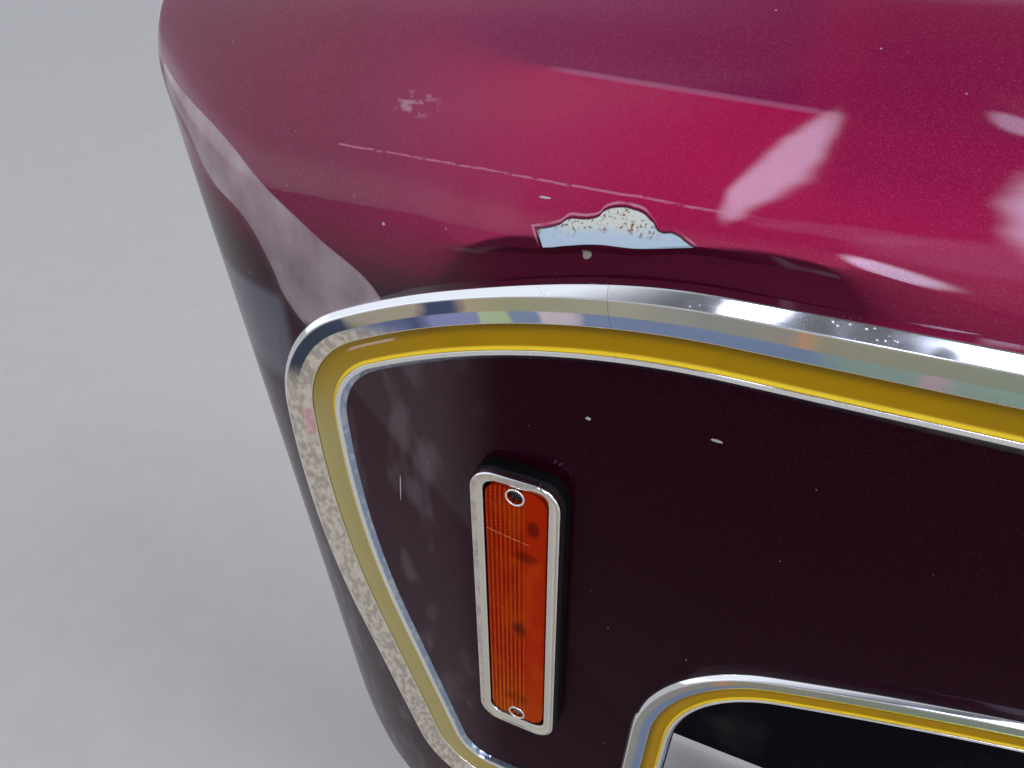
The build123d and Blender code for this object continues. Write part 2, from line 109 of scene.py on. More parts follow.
# Side marker lamp, as the CAD has it
LAMP_X, LAMP_Z = -418.5 * MM, -285 * MM
LAMP_W, LAMP_H, LAMP_R = 45 * MM, 188 * MM, 12 * MM
HOLE_MARGIN = 5 * MM
PAD_T, PAD_MARGIN = 9 * MM, 1 * MM
BEZEL_T, BEZEL_RIM = 3.5 * MM, 6.5 * MM
LENS_GAP, LENS_RECESS, LENS_T = 0.4 * MM, 1.8 * MM, 6 * MM
SCREW_INSET, SCREW_R, SCREW_SEAT = 11.5 * MM, 3.5 * MM, 3 * MM
FLUTES, FLUTE_L = 8, 147 * MM
FLUTE_PITCH, FLUTE_R = 2.4 * MM, 1.1 * MM
FLUTE_INSET, FLUTE_SINK, FLUTE_DROP = 2.6 * MM, 0.25 * MM, 1.5 * MM
FLUTE_FLATTEN = 0.45
SHANK_R, SHANK_L = 1.9 * MM, 18 * MM
HEAD_EDGE, HEAD_DOME = 0.9 * MM, 1.5 * MM
CROSS_L, CROSS_W, CROSS_H = 4.4 * MM, 0.8 * MM, 1.1 * MM
CROSS_TURN = 0.5
RIM_R, RIM_H = 0.55 * MM, 0.5 * MM

# The camera stands where the photograph was taken, 24.5 cm out from the panel's side
CAMERA_AT = (-310 * MM, -409.6 * MM, 35 * MM)
CAMERA_DOWN = radians(34.3)
CAMERA_FORWARD = radians(25.1)
CAMERA_ROLL = radians(0.6)
LENS_MM = 27.07


class Sock:
    """A shader socket that takes part in sums, so that maths reads as maths."""

    def __init__(self, shade, out):
        self.shade, self.out = shade, out

    def _math(self, op, *args, clamp=False):
        return self.shade.node(
            "ShaderNodeMath", {"operation": op, "use_clamp": clamp}, dict(enumerate(args))
        )

    def __add__(self, o):
        return self._math("ADD", self, o)

    def __radd__(self, o):
        return self._math("ADD", o, self)

    def __sub__(self, o):
        return self._math("SUBTRACT", self, o)

    def __rsub__(self, o):
        return self._math("SUBTRACT", o, self)

    def __mul__(self, o):
        return self._math("MULTIPLY", self, o)

    def __rmul__(self, o):
        return self._math("MULTIPLY", o, self)

    def __truediv__(self, o):
        return self._math("DIVIDE", self, o)

    def __rtruediv__(self, o):
        return self._math("DIVIDE", o, self)

    def __pow__(self, o):
        return self._math("POWER", self, o)

    def __neg__(self):
        return self._math("MULTIPLY", self, -1.0)

    def __abs__(self):
        return self._math("ABSOLUTE", self)

    def min(self, o):
        return self._math("MINIMUM", self, o)

    def max(self, o):
        return self._math("MAXIMUM", self, o)

    def sqrt(self):
        return self._math("SQRT", self)

    def sin(self):
        return self._math("SINE", self)

    def clamp(self):
        return self._math("ADD", self, 0.0, clamp=True)

    def share(self, span):
        """0 at the start of a span and 1 at its end."""
        return (self - span[0]) * (1 / (span[1] - span[0]))

    def over(self, low, high):
        """0 below low, 1 above high, smooth between; reversed if low is above high."""
        return self.shade.node(
            "ShaderNodeMapRange",
            {"interpolation_type": "SMOOTHSTEP"},
            {"Value": self, "From Min": low, "From Max": high},
        )


class Shade:
    """Builds one material's nodes."""

    def __init__(self, name):
        self.material = bpy.data.materials.new(name)
        self.material.use_nodes = True
        self.tree = self.material.node_tree
        self.tree.nodes.clear()

    def node(self, kind, settings=None, inputs=None, out=0):
        n = self.tree.nodes.new(kind)
        for key, value in (settings or {}).items():
            if key == "stops":
                ramp = n.color_ramp
                while len(ramp.elements) < len(value):
                    ramp.elements.new(0.5)
                for element, (at, colour) in zip(ramp.elements, value):
                    element.position, element.color = at, (*colour, 1)
            elif key == "curve":
                points = n.mapping.curves[0].points
                while len(points) < len(value):
                    points.new(0.5, 0.5)
                for point, at in zip(points, value):
                    point.location = at
                n.mapping.update()
            else:
                setattr(n, key, value)
        for key, value in (inputs or {}).items():
            socket = n.inputs[key]
            if isinstance(value, Sock):
                self.tree.links.new(value.out, socket)
            elif hasattr(socket.default_value, "__len__") and not hasattr(value, "__len__"):
                socket.default_value = [value] * len(socket.default_value)
            elif socket.type == "RGBA" and len(value) == 3:
                socket.default_value = (*value, 1)
            else:
                socket.default_value = value
        return Sock(self, n.outputs[out])

    def parts(self, vector):
        """The three numbers of a vector."""
        split = self.node("ShaderNodeSeparateXYZ", {}, {"Vector": vector})
        return [Sock(self, split.out.node.outputs[i]) for i in range(3)]

    def object_place(self):
        return self.node("ShaderNodeTexCoord", out="Object")

    def place(self):
        """Object coordinates and their three parts."""
        at = self.object_place()
        return at, self.parts(at)

    def lie(self):
        """A strip's own measures: along it, across it as a share, and off the panel."""
        return self.parts(self.node("ShaderNodeAttribute", {"attribute_name": "lie"}, out="Vector"))

    def curve(self, value, points):
        return self.node("ShaderNodeFloatCurve", {"curve": points}, {"Value": value})

    def spread(self, u, v, w, h):
        """Distance from the middle of an oval of half sizes w and h, 1 on its edge."""
        return ((u * u) * (1 / w**2) + (v * v) * (1 / h**2)).sqrt()

    def stretch(self, at, scale):
        """Coordinates scaled along each axis, so that a pattern is longer where the scale is small."""
        return self.node("ShaderNodeMapping", {}, {"Vector": at, "Scale": scale})

    def noise(self, at, scale, detail, rough=0.5):
        inputs = {"Vector": at, "Scale": scale, "Detail": detail, "Roughness": rough}
        return self.node("ShaderNodeTexNoise", {}, inputs)

    def cells(self, at, scale, out=0):
        return self.node("ShaderNodeTexVoronoi", {}, {"Vector": at, "Scale": scale}, out)

    def vector(self, op, *args, out="Vector"):
        return self.node("ShaderNodeVectorMath", {"operation": op}, dict(enumerate(args)), out)

    def mix(self, factor, a, b):
        return self.node(
            "ShaderNodeMix", {"data_type": "RGBA"}, {"Factor": factor, 6: a, 7: b}, out=2
        )

    def mix_value(self, factor, a, b):
        return self.node("ShaderNodeMix", {"data_type": "FLOAT"}, {"Factor": factor, 2: a, 3: b})

    def ramp(self, value, stops):
        return self.node("ShaderNodeValToRGB", {"stops": stops}, {"Fac": value})

    def bump(self, height, strength, distance, normal=None):
        inputs = {"Height": height, "Strength": strength, "Distance": distance}
        if normal:
            inputs["Normal"] = normal
        return self.node("ShaderNodeBump", {}, inputs)

    def finish(self, **inputs):
        """The principled surface, with names as the shader shows them."""
        named = {key.replace("_", " "): value for key, value in inputs.items()}
        surface = self.node("ShaderNodeBsdfPrincipled", {}, named)
        output = self.tree.nodes.new("ShaderNodeOutputMaterial")
        self.tree.links.new(surface.out, output.inputs["Surface"])
        return self.material


class Route:
    """A flat path in side view, of straight runs and tangent arcs."""

    def __init__(self, x, z, heading, step=4 * MM):
        self.x, self.z, self.heading, self.step = x, z, heading, step
        self.samples = [(x, z, heading)]

    def run(self, length, step=None):
        count = max(1, round(length / (step or self.step)))
        for i in range(1, count + 1):
            ahead = length * i / count
            self._keep(self.x + ahead * cos(self.heading), self.z + ahead * sin(self.heading))
        self.x, self.z = self.samples[-1][:2]
        return self

    def turn(self, radius, angle):
        """Turns to the left by angle, or to the right if it is negative."""
        side = 1 if angle > 0 else -1
        cx = self.x - side * radius * sin(self.heading)
        cz = self.z + side * radius * cos(self.heading)
        start = self.heading
        count = max(2, round(abs(angle) * radius / self.step), round(abs(degrees(angle)) / 3))
        for i in range(1, count + 1):
            self.heading = start + angle * i / count
            x = cx + side * radius * sin(self.heading)
            z = cz - side * radius * cos(self.heading)
            self._keep(x, z)
        self.x, self.z = self.samples[-1][:2]
        return self

    def _keep(self, x, z):
        self.samples.append((x, z, self.heading))


def rounded(corners):
    """Points of an open outline whose corners (u, w, radius) are rounded over."""
    points = []
    for i, (u, w, r) in enumerate(corners):
        here = Vector((u, w))
        if r == 0 or i in (0, len(corners) - 1):
            points.append(here)
            continue
        back = Vector(corners[i - 1][:2]) - here
        ahead = Vector(corners[i + 1][:2]) - here
        half = back.angle(ahead) / 2
        reach = min(r / tan(half), 0.49 * back.length, 0.49 * ahead.length)
        radius = reach * tan(half)
        start, end = here + back.normalized() * reach, here + ahead.normalized() * reach
        centre = here + (back.normalized() + ahead.normalized()).normalized() * (radius / sin(half))
        arms = start - centre, end - centre
        sweep = arms[0].angle_signed(arms[1])
        count = max(2, round(degrees(abs(sweep)) / 12))
        for k in range(count + 1):
            arm = arms[0].copy()
            arm.rotate(Matrix.Rotation(-sweep * k / count, 2))
            points.append(centre + arm)
    return points


def rounded_box(w, h, r):
    """Points round a box with rounded corners, anticlockwise."""
    points = []
    for cx, cz, start in ((1, -1, -90), (1, 1, 0), (-1, 1, 90), (-1, -1, 180)):
        for k in range(9):
            a = radians(start + 90 * k / 8)
            points.append(
                (cx * (w / 2 - r) + r * cos(a), cz * (h / 2 - r) + r * sin(a))
            )
    return points


def mesh_piece(name, verts, faces, material=None):
    """A new object in the scene, from points and faces."""
    mesh = bpy.data.meshes.new(name)
    mesh.from_pydata([tuple(v) for v in verts], [], faces)
    piece = bpy.data.objects.new(name, mesh)
    bpy.context.scene.collection.objects.link(piece)
    if material:
        mesh.materials.append(material)
    return piece


def tidy(piece, sharp=35):
    """Merged, with faces outwards, smooth but for its sharp edges."""
    bm = bmesh.new()
    bm.from_mesh(piece.data)
    bmesh.ops.remove_doubles(bm, verts=bm.verts, dist=0.00001)
    bmesh.ops.recalc_face_normals(bm, faces=bm.faces)
    bm.to_mesh(piece.data)
    bm.free()
    for polygon in piece.data.polygons:
        polygon.use_smooth = True
    piece.data.set_sharp_from_angle(angle=radians(sharp))
    return piece


def bake_modifiers(piece):
    """Applies the piece's modifiers to its mesh."""
    graph = bpy.context.evaluated_depsgraph_get()
    mesh = bpy.data.meshes.new_from_object(piece.evaluated_get(graph))
    piece.modifiers.clear()
    piece.data = mesh
    return piece


def cut(piece, cutter, operation):
    """Cuts a piece with another, which is then removed."""
    boolean = piece.modifiers.new("cut", "BOOLEAN")
    boolean.operation, boolean.solver, boolean.object = operation, "EXACT", cutter
    bake_modifiers(piece)
    bpy.data.objects.remove(cutter)
    return piece


def prism(name, outline, y_low, y_high):
    """Closed block of a side-view outline between two depths."""
    n = len(outline)
    verts = [(x, y_low, z) for x, z in outline] + [(x, y_high, z) for x, z in outline]
    faces = [list(range(n)), list(range(2 * n - 1, n - 1, -1))]
    faces += [[i, i + n, (i + 1) % n + n, (i + 1) % n] for i in range(n)]
    block = tidy(mesh_piece(name, verts, faces))
    bm = bmesh.new()
    bm.from_mesh(block.data)
    bmesh.ops.triangulate(bm, faces=bm.faces)
    bm.to_mesh(block.data)
    bm.free()
    return block


def mark_lie(piece, lie):
    """Keeps each point's place along, across and off the panel, for the finishes."""
    marks = piece.data.attributes.new("lie", "FLOAT_VECTOR", "POINT")
    marks.data.foreach_set("vector", [value for place in lie for value in place])


def swept(name, route, profile, material, reach=None):
    """Closed bar: a profile (u to the left of the route, w off the panel) along a route."""
    verts, faces, lie = [], [], []
    n = len(profile)
    low, high = min(u for u, w in profile), max(u for u, w in profile)
    far, last = 0.0, route.samples[0]
    for x, z, heading in route.samples:
        far += hypot(x - last[0], z - last[1])
        last = (x, z)
        left = (-sin(heading), cos(heading))
        for u, w in profile:
            share = (u - low) / (high - low)
            lie.append((far, share, w))
            if reach:
                u += reach(x, z, share)
            verts.append((x + left[0] * u, TRIM_Y - w, z + left[1] * u))
    for i in range(len(route.samples) - 1):
        for k in range(n):
            a, b = i * n + k, i * n + (k + 1) % n
            faces.append([a, b, b + n, a + n])
    faces += [list(range(n)), list(range(len(verts) - 1, len(verts) - n - 1, -1))]
    piece = mesh_piece(name, verts, faces, material)
    mark_lie(piece, lie)
    return tidy(piece, 32)


# Routes of the mouldings and of the wheel opening

def arch_route(grow, rear_z, front_z, step=4 * MM):
    """Edge of the wheel opening, grown outwards: rear leg, over the top, front leg."""
    corner_turn = pi / 2 - LEG_LEAN - ARCH_TOP_SLOPE
    top_r = (ARCH_HALF - ARCH_CORNER_R * (cos(LEG_LEAN) - sin(ARCH_TOP_SLOPE))) / sin(ARCH_TOP_SLOPE)
    top_x = ARCH_X + ARCH_HALF + grow * cos(LEG_LEAN)
    top_z = LEG_TOP_Z + grow * sin(LEG_LEAN)
    foot_x = top_x + (top_z - rear_z) * tan(LEG_LEAN)
    route = Route(foot_x, rear_z, pi / 2 + LEG_LEAN, step)
    route.run(hypot(foot_x - top_x, top_z - rear_z), 20 * MM)
    route.turn(ARCH_CORNER_R + grow, corner_turn)
    route.turn(top_r + grow, 2 * ARCH_TOP_SLOPE)
    route.turn(ARCH_CORNER_R + grow, corner_turn)
    route.run((top_z - front_z) / cos(LEG_LEAN), 20 * MM)
    return route


def upper_route():
    """The long moulding: from the rear end forward, then a little way down its bend."""
    route = Route(MOULD_END_X, MOULD_Z, pi)
    route.run(MOULD_END_X - DROOP_X, 15 * MM)
    return route.turn(DROOP_R, JOINT_TURN)


def leg_reach(z):
    """Half the width over the wheel opening moulding at a height."""
    return ARCH_HALF + ARCH_MOULD_W / cos(LEG_LEAN) + (LEG_TOP_Z - z) * tan(LEG_LEAN)


def corner_route():
    """The corner moulding: round the corner, down the front, and back to the wheel opening."""
    route = Route(DROOP_X, MOULD_Z, pi)
    route.turn(DROOP_R, JOINT_TURN + JOINT_GAP / DROOP_R)
    route.samples = route.samples[-1:]
    route.turn(DROOP_R, DROOP_TURN - JOINT_TURN - JOINT_GAP / DROOP_R)
    route.turn(BEND_R, pi / 2 - DROOP_TURN)
    route.turn(DESCENT_R, DESCENT_LEAN)
    foot_turn = pi / 2 - DESCENT_LEAN
    foot_z = MOULD_Z - DROP
    fall = route.z - foot_z - FOOT_R * (1 - cos(foot_turn))
    route.run(fall / cos(DESCENT_LEAN))
    route.turn(FOOT_R, foot_turn)
    return route.run(ARCH_X - leg_reach(foot_z) - TRIM_GAP - route.x, 10 * MM)


def lower_rear_route():
    """The short moulding behind the wheel."""
    foot_z = MOULD_Z - DROP
    start = ARCH_X + leg_reach(foot_z) + TRIM_GAP
    return Route(start, foot_z, 0).run(MOULD_END_X - start, 15 * MM)


# The crease over the upper moulding, from front to rear: (x, z, how hard it was pushed)
CREASE = [
    (-470 * MM, -91 * MM, 0.0), (-442 * MM, -88 * MM, 0.45), (-418 * MM, -84 * MM, 1.0),
    (-385 * MM, -78.5 * MM, 1.0), (-352 * MM, -73.5 * MM, 0.85), (-320 * MM, -73 * MM, 0.45),
    (-262 * MM, -78 * MM, 0.0),
]
DENT_X = (-480 * MM, -240 * MM)
DENT_Z = (-119 * MM, -40 * MM)
CREASE_ROW_Z = -78 * MM
CREASE_END_X = -528 * MM
DENT_DEPTH = 3.4 * MM
RIDGE = 1.5 * MM
STEP_H = 3.5 * MM
RIDGE_REACH = 34 * MM
FINE = 1.2 * MM


# The panel's section. Each row of the panel's grid is a zone and its share of that zone:
# an angle on the tuck, a height on the side.

TOP_Y = SIDE_Y + CROWN_R + (TOP_R - CROWN_R) * cos(CROWN_TURN)
TOP_Z = CROWN_START_Z - (TOP_R - CROWN_R) * sin(CROWN_TURN)


def section_rows():
    """Rows of the panel's grid, from the bottom edge up to the bolt flange."""
    floor = REAR_BOTTOM_Z - 10 * MM
    low = asin((TUCK_TOP_Z - floor) / TUCK_R)
    rows = [("tuck", low * (1 - i / 12)) for i in range(12)]
    rows += [("side", TUCK_TOP_Z + (DENT_Z[0] - TUCK_TOP_Z) * i / 12) for i in range(12)]
    heights = [DENT_Z[0] + (CREASE_ROW_Z - DENT_Z[0]) * i / 26 for i in range(26)]
    heights += [CREASE_ROW_Z + (DENT_Z[1] - CREASE_ROW_Z) * (i / 20) ** 1.3 for i in range(21)]
    for z in heights:
        if z < CROWN_START_Z:
            rows.append(("rise", (z - DENT_Z[0]) / (CROWN_START_Z - DENT_Z[0])))
        else:
            rows.append(("crown", asin((z - CROWN_START_Z) / CROWN_R) / CROWN_TURN))
    last = rows[-1][1]
    rows += [("crown", last + (1 - last) * i / 20) for i in range(1, 20)]
    return rows + [("top", i / 16) for i in range(17)] + [("flat", 0)]


def across(row, share=0.0):
    """Y and Z of a row, and the way it faces; share is 0 on the body and 1 at the front."""
    zone, t = row
    side = SIDE_Y + NOSE_DRAW * share**2
    crown_r = CROWN_R + (NOSE_CROWN_R - CROWN_R) * share**2
    reach = TOP_Y - side - crown_r
    start_z = TOP_Z + sqrt((TOP_R - crown_r) ** 2 - reach**2)
    turn = acos(reach / (TOP_R - crown_r))
    if zone == "tuck":
        return side + TUCK_R * (1 - cos(t)), TUCK_TOP_Z - TUCK_R * sin(t), (-cos(t), -sin(t))
    if zone == "side":
        return side, t, (-1, 0)
    if zone == "rise":
        return side, DENT_Z[0] + t * (start_z - DENT_Z[0]), (-1, 0)
    if zone == "crown":
        a = turn * t
        return side + crown_r * (1 - cos(a)), start_z + crown_r * sin(a), (-cos(a), sin(a))
    if zone == "top":
        a = turn + (pi / 2 - turn) * t
        return TOP_Y - TOP_R * cos(a), TOP_Z + TOP_R * sin(a), (-cos(a), sin(a))
    return FLANGE_IN_Y + WALL, TOP_Z + TOP_R, (0, 1)


def smooth(t):
    t = min(max(t, 0.0), 1.0)
    return t * t * (3 - 2 * t)


def crease_at(x):
    """Height of the crease over a place along the panel, and how hard it was pushed."""
    x = min(max(x, CREASE[0][0]), CREASE[-1][0])
    i = max(k for k in range(len(CREASE) - 1) if CREASE[k][0] <= x)
    (x0, z0, p0), (x1, z1, p1) = CREASE[i:i + 2]
    t = (x - x0) / (x1 - x0)
    return z0 + (z1 - z0) * smooth(t), p0 + (p1 - p0) * smooth(t)


def pushed_in(x, z):
    """How far the panel was pushed in at a place: the crease is its upper edge."""
    crease_z, push = crease_at(x)
    above = z - crease_z
    if above >= 0:
        return -RIDGE * push * (1 - smooth(above / RIDGE_REACH))
    drop = (DENT_DEPTH + RIDGE) * smooth(-above / STEP_H) - RIDGE
    down = (crease_z - z) / (crease_z - DENT_Z[0])
    return push * drop * (1 - smooth((down - 0.25) / 0.75) * 0.9)


def beside_crease(x, z):
    """Height that a row of the grid takes at x, so that one row runs along the crease."""
    if not DENT_Z[0] < z < DENT_Z[1]:
        return z
    shift = crease_at(x)[0] - CREASE_ROW_Z
    shift *= smooth((x - CREASE_END_X) / (DENT_X[0] - CREASE_END_X))
    room = z - DENT_Z[0] if z < CREASE_ROW_Z else DENT_Z[1] - z
    whole = CREASE_ROW_Z - DENT_Z[0] if z < CREASE_ROW_Z else DENT_Z[1] - CREASE_ROW_Z
    return z + shift * min(room / whole, 1)


def dented(x, z):
    """Point of the panel's face at a height on the side or the crown, with its dent."""
    a = asin(max(z - CROWN_START_Z, 0) / CROWN_R)
    y = SIDE_Y + CROWN_R * (1 - cos(a))
    return Vector((x, y, z)) - Vector((0, -cos(a), sin(a))) * pushed_in(x, z)


def front_x(z):
    """Where the leaning front face is at a height."""
    return FRONT_X + (FRONT_REF_Z - z) * tan(FRONT_LEAN)


def on_nose(row, share):
    """Point of a row on the nose: share is 0 on the body and 1 at the front."""
    y, z, facing = across(row, share)
    return Vector((front_x(z) + NOSE_L * (1 - share), y, z))


def fold(row):
    """The small fold from the nose into the front face, as points from the outside in."""
    front = Vector((cos(FRONT_LEAN), 0, sin(FRONT_LEAN)))
    edge = on_nose(row, 1)
    heading = (edge - on_nose(row, 0.97)).normalized()
    y, z, (out_y, out_z) = across(row, 1)
    along = Vector((tan(FRONT_LEAN) * out_y, out_z, -out_y)).normalized()
    facing = along.cross(heading).normalized()
    half = facing.angle(-front) / 2
    centre = edge - (facing - front).normalized() * (FOLD_R / cos(half))
    points = []
    for t in [i / 6 for i in range(7)]:
        arm = (facing * sin((1 - t) * 2 * half) - front * sin(t * 2 * half)) / sin(2 * half)
        points.append(centre + arm * FOLD_R)
    return points


def opening_edge(far):
    """Point of the front opening's edge, a way along it from the start of its corner."""
    cut_y = SIDE_Y + NOSE_DRAW + FRONT_FLANGE
    bend = FRONT_CUT_R * pi / 2
    if far < bend:
        a = far / FRONT_CUT_R
        y, z = cut_y + FRONT_CUT_R * (1 - cos(a)), FRONT_TIE_Z - FRONT_CUT_R * (1 - sin(a))
    else:
        y, z = cut_y + FRONT_CUT_R + far - bend, FRONT_TIE_Z
    return Vector((front_x(z), y, z))


def opening_points(rows):
    """Where each row ends on the front return: across it, or on the tie under the crown."""
    edges = [on_nose(row, 1) for row in rows]
    cut_y = SIDE_Y + NOSE_DRAW + FRONT_FLANGE
    first = sum(edge.z < FRONT_TIE_Z - FRONT_CUT_R for edge in edges)
    far = [0.0]
    for a, b in zip(edges[first:], edges[first + 1:]):
        far.append(far[-1] + (b - a).length)
    whole = FRONT_CUT_R * (pi / 2 - 1) + FLANGE_IN_Y + WALL - cut_y
    low = [Vector((front_x(edge.z), cut_y, edge.z)) for edge in edges[:first]]
    return low + [opening_edge(whole * length / far[-1]) for length in far]


def panel_sheet():
    """The panel's outer face with its nose, front fold and front return, as a grid."""
    verts, rows = [], section_rows()
    ends = opening_points(rows)
    rear = REAR_X + 12 * MM
    fine = round((DENT_X[1] - DENT_X[0]) / (1.25 * FINE))
    for row, end in zip(rows, ends):
        y, z, facing = across(row)
        start = front_x(z) + NOSE_L
        before = max(DENT_X[0], start + NOSE_L / 2)
        xs = [rear + (DENT_X[1] - rear) * i / 30 for i in range(30)]
        xs += [DENT_X[1] + (before - DENT_X[1]) * i / fine for i in range(fine)]
        xs += [before + (start - before) * i / 10 for i in range(10)]
        if DENT_Z[0] < z < DENT_Z[1]:
            verts += [dented(x, beside_crease(x, z)) for x in xs]
        else:
            verts += [Vector((x, y, z)) for x in xs]
        verts += [on_nose(row, 0.94 * i / 14) for i in range(15)]
        verts += fold(row)
        inner = verts[-1]
        verts += [inner + (end - inner) * i / 3 for i in (1, 2, 3)]
    wide = len(verts) // len(rows)
    faces = []
    for r in range(len(rows) - 1):
        for c in range(wide - 1):
            a = r * wide + c
            faces.append([a, a + wide, a + wide + 1, a + 1])
    return verts, faces


def panel_y(x, z):
    """Y of the panel's outer face below the crown, with its nose."""
    share = min(max(1 - (x - front_x(z)) / NOSE_L, 0), 1)
    y = SIDE_Y + NOSE_DRAW * share**2
    if z < TUCK_TOP_Z:
        y += TUCK_R - sqrt(TUCK_R**2 - (TUCK_TOP_Z - z) ** 2)
    return y


def side_outline(inset=0.0):
    """The panel's outline in side view, with the wheel opening, clockwise from the front."""
    reach = FRONT_BOTTOM_REACH / cos(FRONT_LEAN)
    bottom, front_bottom = REAR_BOTTOM_Z + inset, FRONT_BOTTOM_Z + inset
    arch = [(x, z) for x, z, h in arch_route(inset, bottom, front_bottom).samples]
    corner = rounded([
        (arch[-1][0], front_bottom, 0),
        (front_x(front_bottom) - reach, front_bottom, FRONT_BOTTOM_R - inset),
        (front_x(60 * MM) - reach, 60 * MM, 0),
    ])
    return arch + [tuple(p) for p in corner[1:]] + [(REAR_X - inset, 60 * MM), (REAR_X - inset, bottom)]


def shell_of(bm, loops, finish=0):
    """Adds a closed strip: a loop of points at each of its stations, capped at both ends."""
    rings = [[bm.verts.new(p) for p in loop] for loop in loops]
    n = len(rings[0])
    for a, b in zip(rings, rings[1:]):
        for k in range(n):
            strip = bm.faces.new([a[k], a[(k + 1) % n], b[(k + 1) % n], b[k]])
            strip.material_index = finish
    bm.faces.new(rings[0]).material_index = finish
    bm.faces.new(reversed(rings[-1])).material_index = finish


def hem_strips(bm):
    """Folded edges: 2 mm sheet turned in round the wheel opening, the bottom and the rear."""
    outer, inner = side_outline(), side_outline(WALL)
    front_end = [i for i, (x, z) in enumerate(outer) if x < front_x(z) + WALL]
    runs = [range(0, front_end[0]), range(len(outer) - 1, len(outer) + 1)]
    for run in runs:
        loops = []
        for i in run:
            (x, z), (u, v) = outer[i % len(outer)], inner[i % len(inner)]
            y, w = panel_y(x, z), panel_y(u, v)
            start, end = 0.8 * WALL, HEM
            loops.append([(x, y + start, z), (x, y + end, z), (u, w + end, v), (u, w + start, v)])
        shell_of(bm, loops, 1)
    loops = []
    for row in section_rows():
        y, z, facing = across(row)
        if z < REAR_BOTTOM_Z or y > GUTTER_Y:
            continue
        inwards = -Vector((0, *facing))
        start = Vector((REAR_X, y, z)) + inwards * 0.8 * WALL
        end = Vector((REAR_X, y, z)) + inwards * HEM
        back = Vector((-WALL, 0, 0))
        loops.append([start, end, end + back, start + back])
    shell_of(bm, loops, 1)


def gutter_strip(bm):
    """The gutter's wall and the bolt flange under the hood."""
    crown = TOP_Z + sqrt(TOP_R**2 - (GUTTER_Y - TOP_Y) ** 2)
    loops = []
    lid, r = crown - 0.4 * WALL, 2.5 * MM
    for front in (True, False):
        profile = [(GUTTER_Y - WALL, lid), (GUTTER_Y - WALL, 0), (FLANGE_IN_Y, 0), (FLANGE_IN_Y, WALL)]
        for k in range(5):
            a = pi / 2 * k / 4
            profile.append((GUTTER_Y + r * (1 - sin(a)), WALL + r * (1 - cos(a))))
        profile.append((GUTTER_Y, lid))
        loops.append([(front_x(z) + 0.8 * WALL if front else REAR_X, y, z) for y, z in profile])
    shell_of(bm, loops)


def make_flange():
    """The gutter and its flange, with the holes for the bolts and the hood stops."""
    bm = bmesh.new()
    gutter_strip(bm)
    flange = mesh_piece("flange", [], [])
    bm.to_mesh(flange.data)
    bm.free()
    tidy(flange)
    for xs, radius in ((BOLT_XS, BOLT_HOLE_R), (STOP_XS, STOP_HOLE_R)):
        for x in xs:
            drill = bmesh.new()
            bmesh.ops.create_cone(
                drill, cap_ends=True, segments=32, radius1=radius, radius2=radius, depth=5 * WALL,
                matrix=Matrix.Translation((x, 0, 0)),
            )
            bar = mesh_piece("drill", [], [])
            drill.to_mesh(bar.data)
            drill.free()
            cut(flange, bar, "DIFFERENCE")
    return flange


def make_panel(outside, inside):
    """The sheet with its wall, cut to its outline, with its hems, gutter and flange."""
    verts, faces = panel_sheet()
    sheet = mesh_piece("panel", verts, faces, outside)
    sheet.data.materials.append(inside)
    wall = sheet.modifiers.new("wall", "SOLIDIFY")
    wall.thickness, wall.offset, wall.use_even_offset = WALL, 1, True
    wall.material_offset, wall.material_offset_rim = 1, 1
    bake_modifiers(sheet)
    cut(sheet, prism("panel_outline", side_outline(), -CUT_REACH_Y, FLANGE_IN_Y), "INTERSECT")
    reach = CUT_REACH_X
    gutter = [(-reach, WALL), (reach, WALL), (reach, CUT_REACH_Z), (-reach, CUT_REACH_Z)]
    cut(sheet, prism("gutter", gutter, GUTTER_Y, CUT_REACH_Z), "DIFFERENCE")
    box = rounded_box(LAMP_W - HOLE_MARGIN, LAMP_H - HOLE_MARGIN, LAMP_R - HOLE_MARGIN / 2)
    hole = [(LAMP_X + x, LAMP_Z + z) for x, z in box]
    cut(sheet, prism("lamp_hole", hole, SIDE_Y - 20 * MM, SIDE_Y + 20 * MM), "DIFFERENCE")
    bm = bmesh.new()
    bm.from_mesh(sheet.data)
    for point in bm.verts:
        point.co.x = max(point.co.x, cad_box[0][0])
        point.co.z = min(point.co.z, cad_box[1][2])
    hem_strips(bm)
    bm.to_mesh(sheet.data)
    bm.free()
    join_into(sheet, make_flange())
    tidy(sheet, 28)
    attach(sheet, "root")
    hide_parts("fender_skin")
    return sheet


# Mouldings: corners (share of width, share of height, corner radius) from the lip inwards
STRIP_CORNERS = [
    (-0.50, 0.00, 0), (-0.50, 0.70, 1.6 * MM), (-0.42, 1.00, 1.2 * MM), (-0.23, 0.90, 0.8 * MM),
    (-0.03, 0.62, 0.5 * MM), (-0.03, 0.27, 0.3 * MM), (0.34, 0.27, 0.3 * MM), (0.34, 0.50, 0.3 * MM),
    (0.40, 0.50, 0.5 * MM), (0.49, 0.20, 0.8 * MM), (0.50, 0.00, 0),
]
INSERT_CORNERS = [
    (-0.026, 0.27, 0), (-0.026, 0.58, 0.2 * MM), (0.06, 0.37, 4 * MM), (0.28, 0.33, 2.5 * MM),
    (0.336, 0.49, 0.2 * MM), (0.336, 0.27, 0),
]


def scaled(corners, width, height):
    """A profile of shares brought to a strip's width and height."""
    return rounded([(u * width, w * height, r) for u, w, r in corners])


def in_place_of(piece, node):
    """Ties a piece to the panel's body and to the node it stands for."""
    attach(piece, "root")
    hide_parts(node)
    return piece


def lip_reach(x, z, share):
    """How much further the long moulding's lip and foot stand out towards the rear."""
    if z < -160 * MM:
        return 0.0
    if share < 0.13:
        reach = LIP_REACH if share < 0.045 else LIP_REACH * 0.2
        return -reach * smooth((x + 445 * MM) / (95 * MM))
    if share > 0.93:
        return FOOT_REACH * smooth((x + 340 * MM) / (120 * MM))
    return 0.0


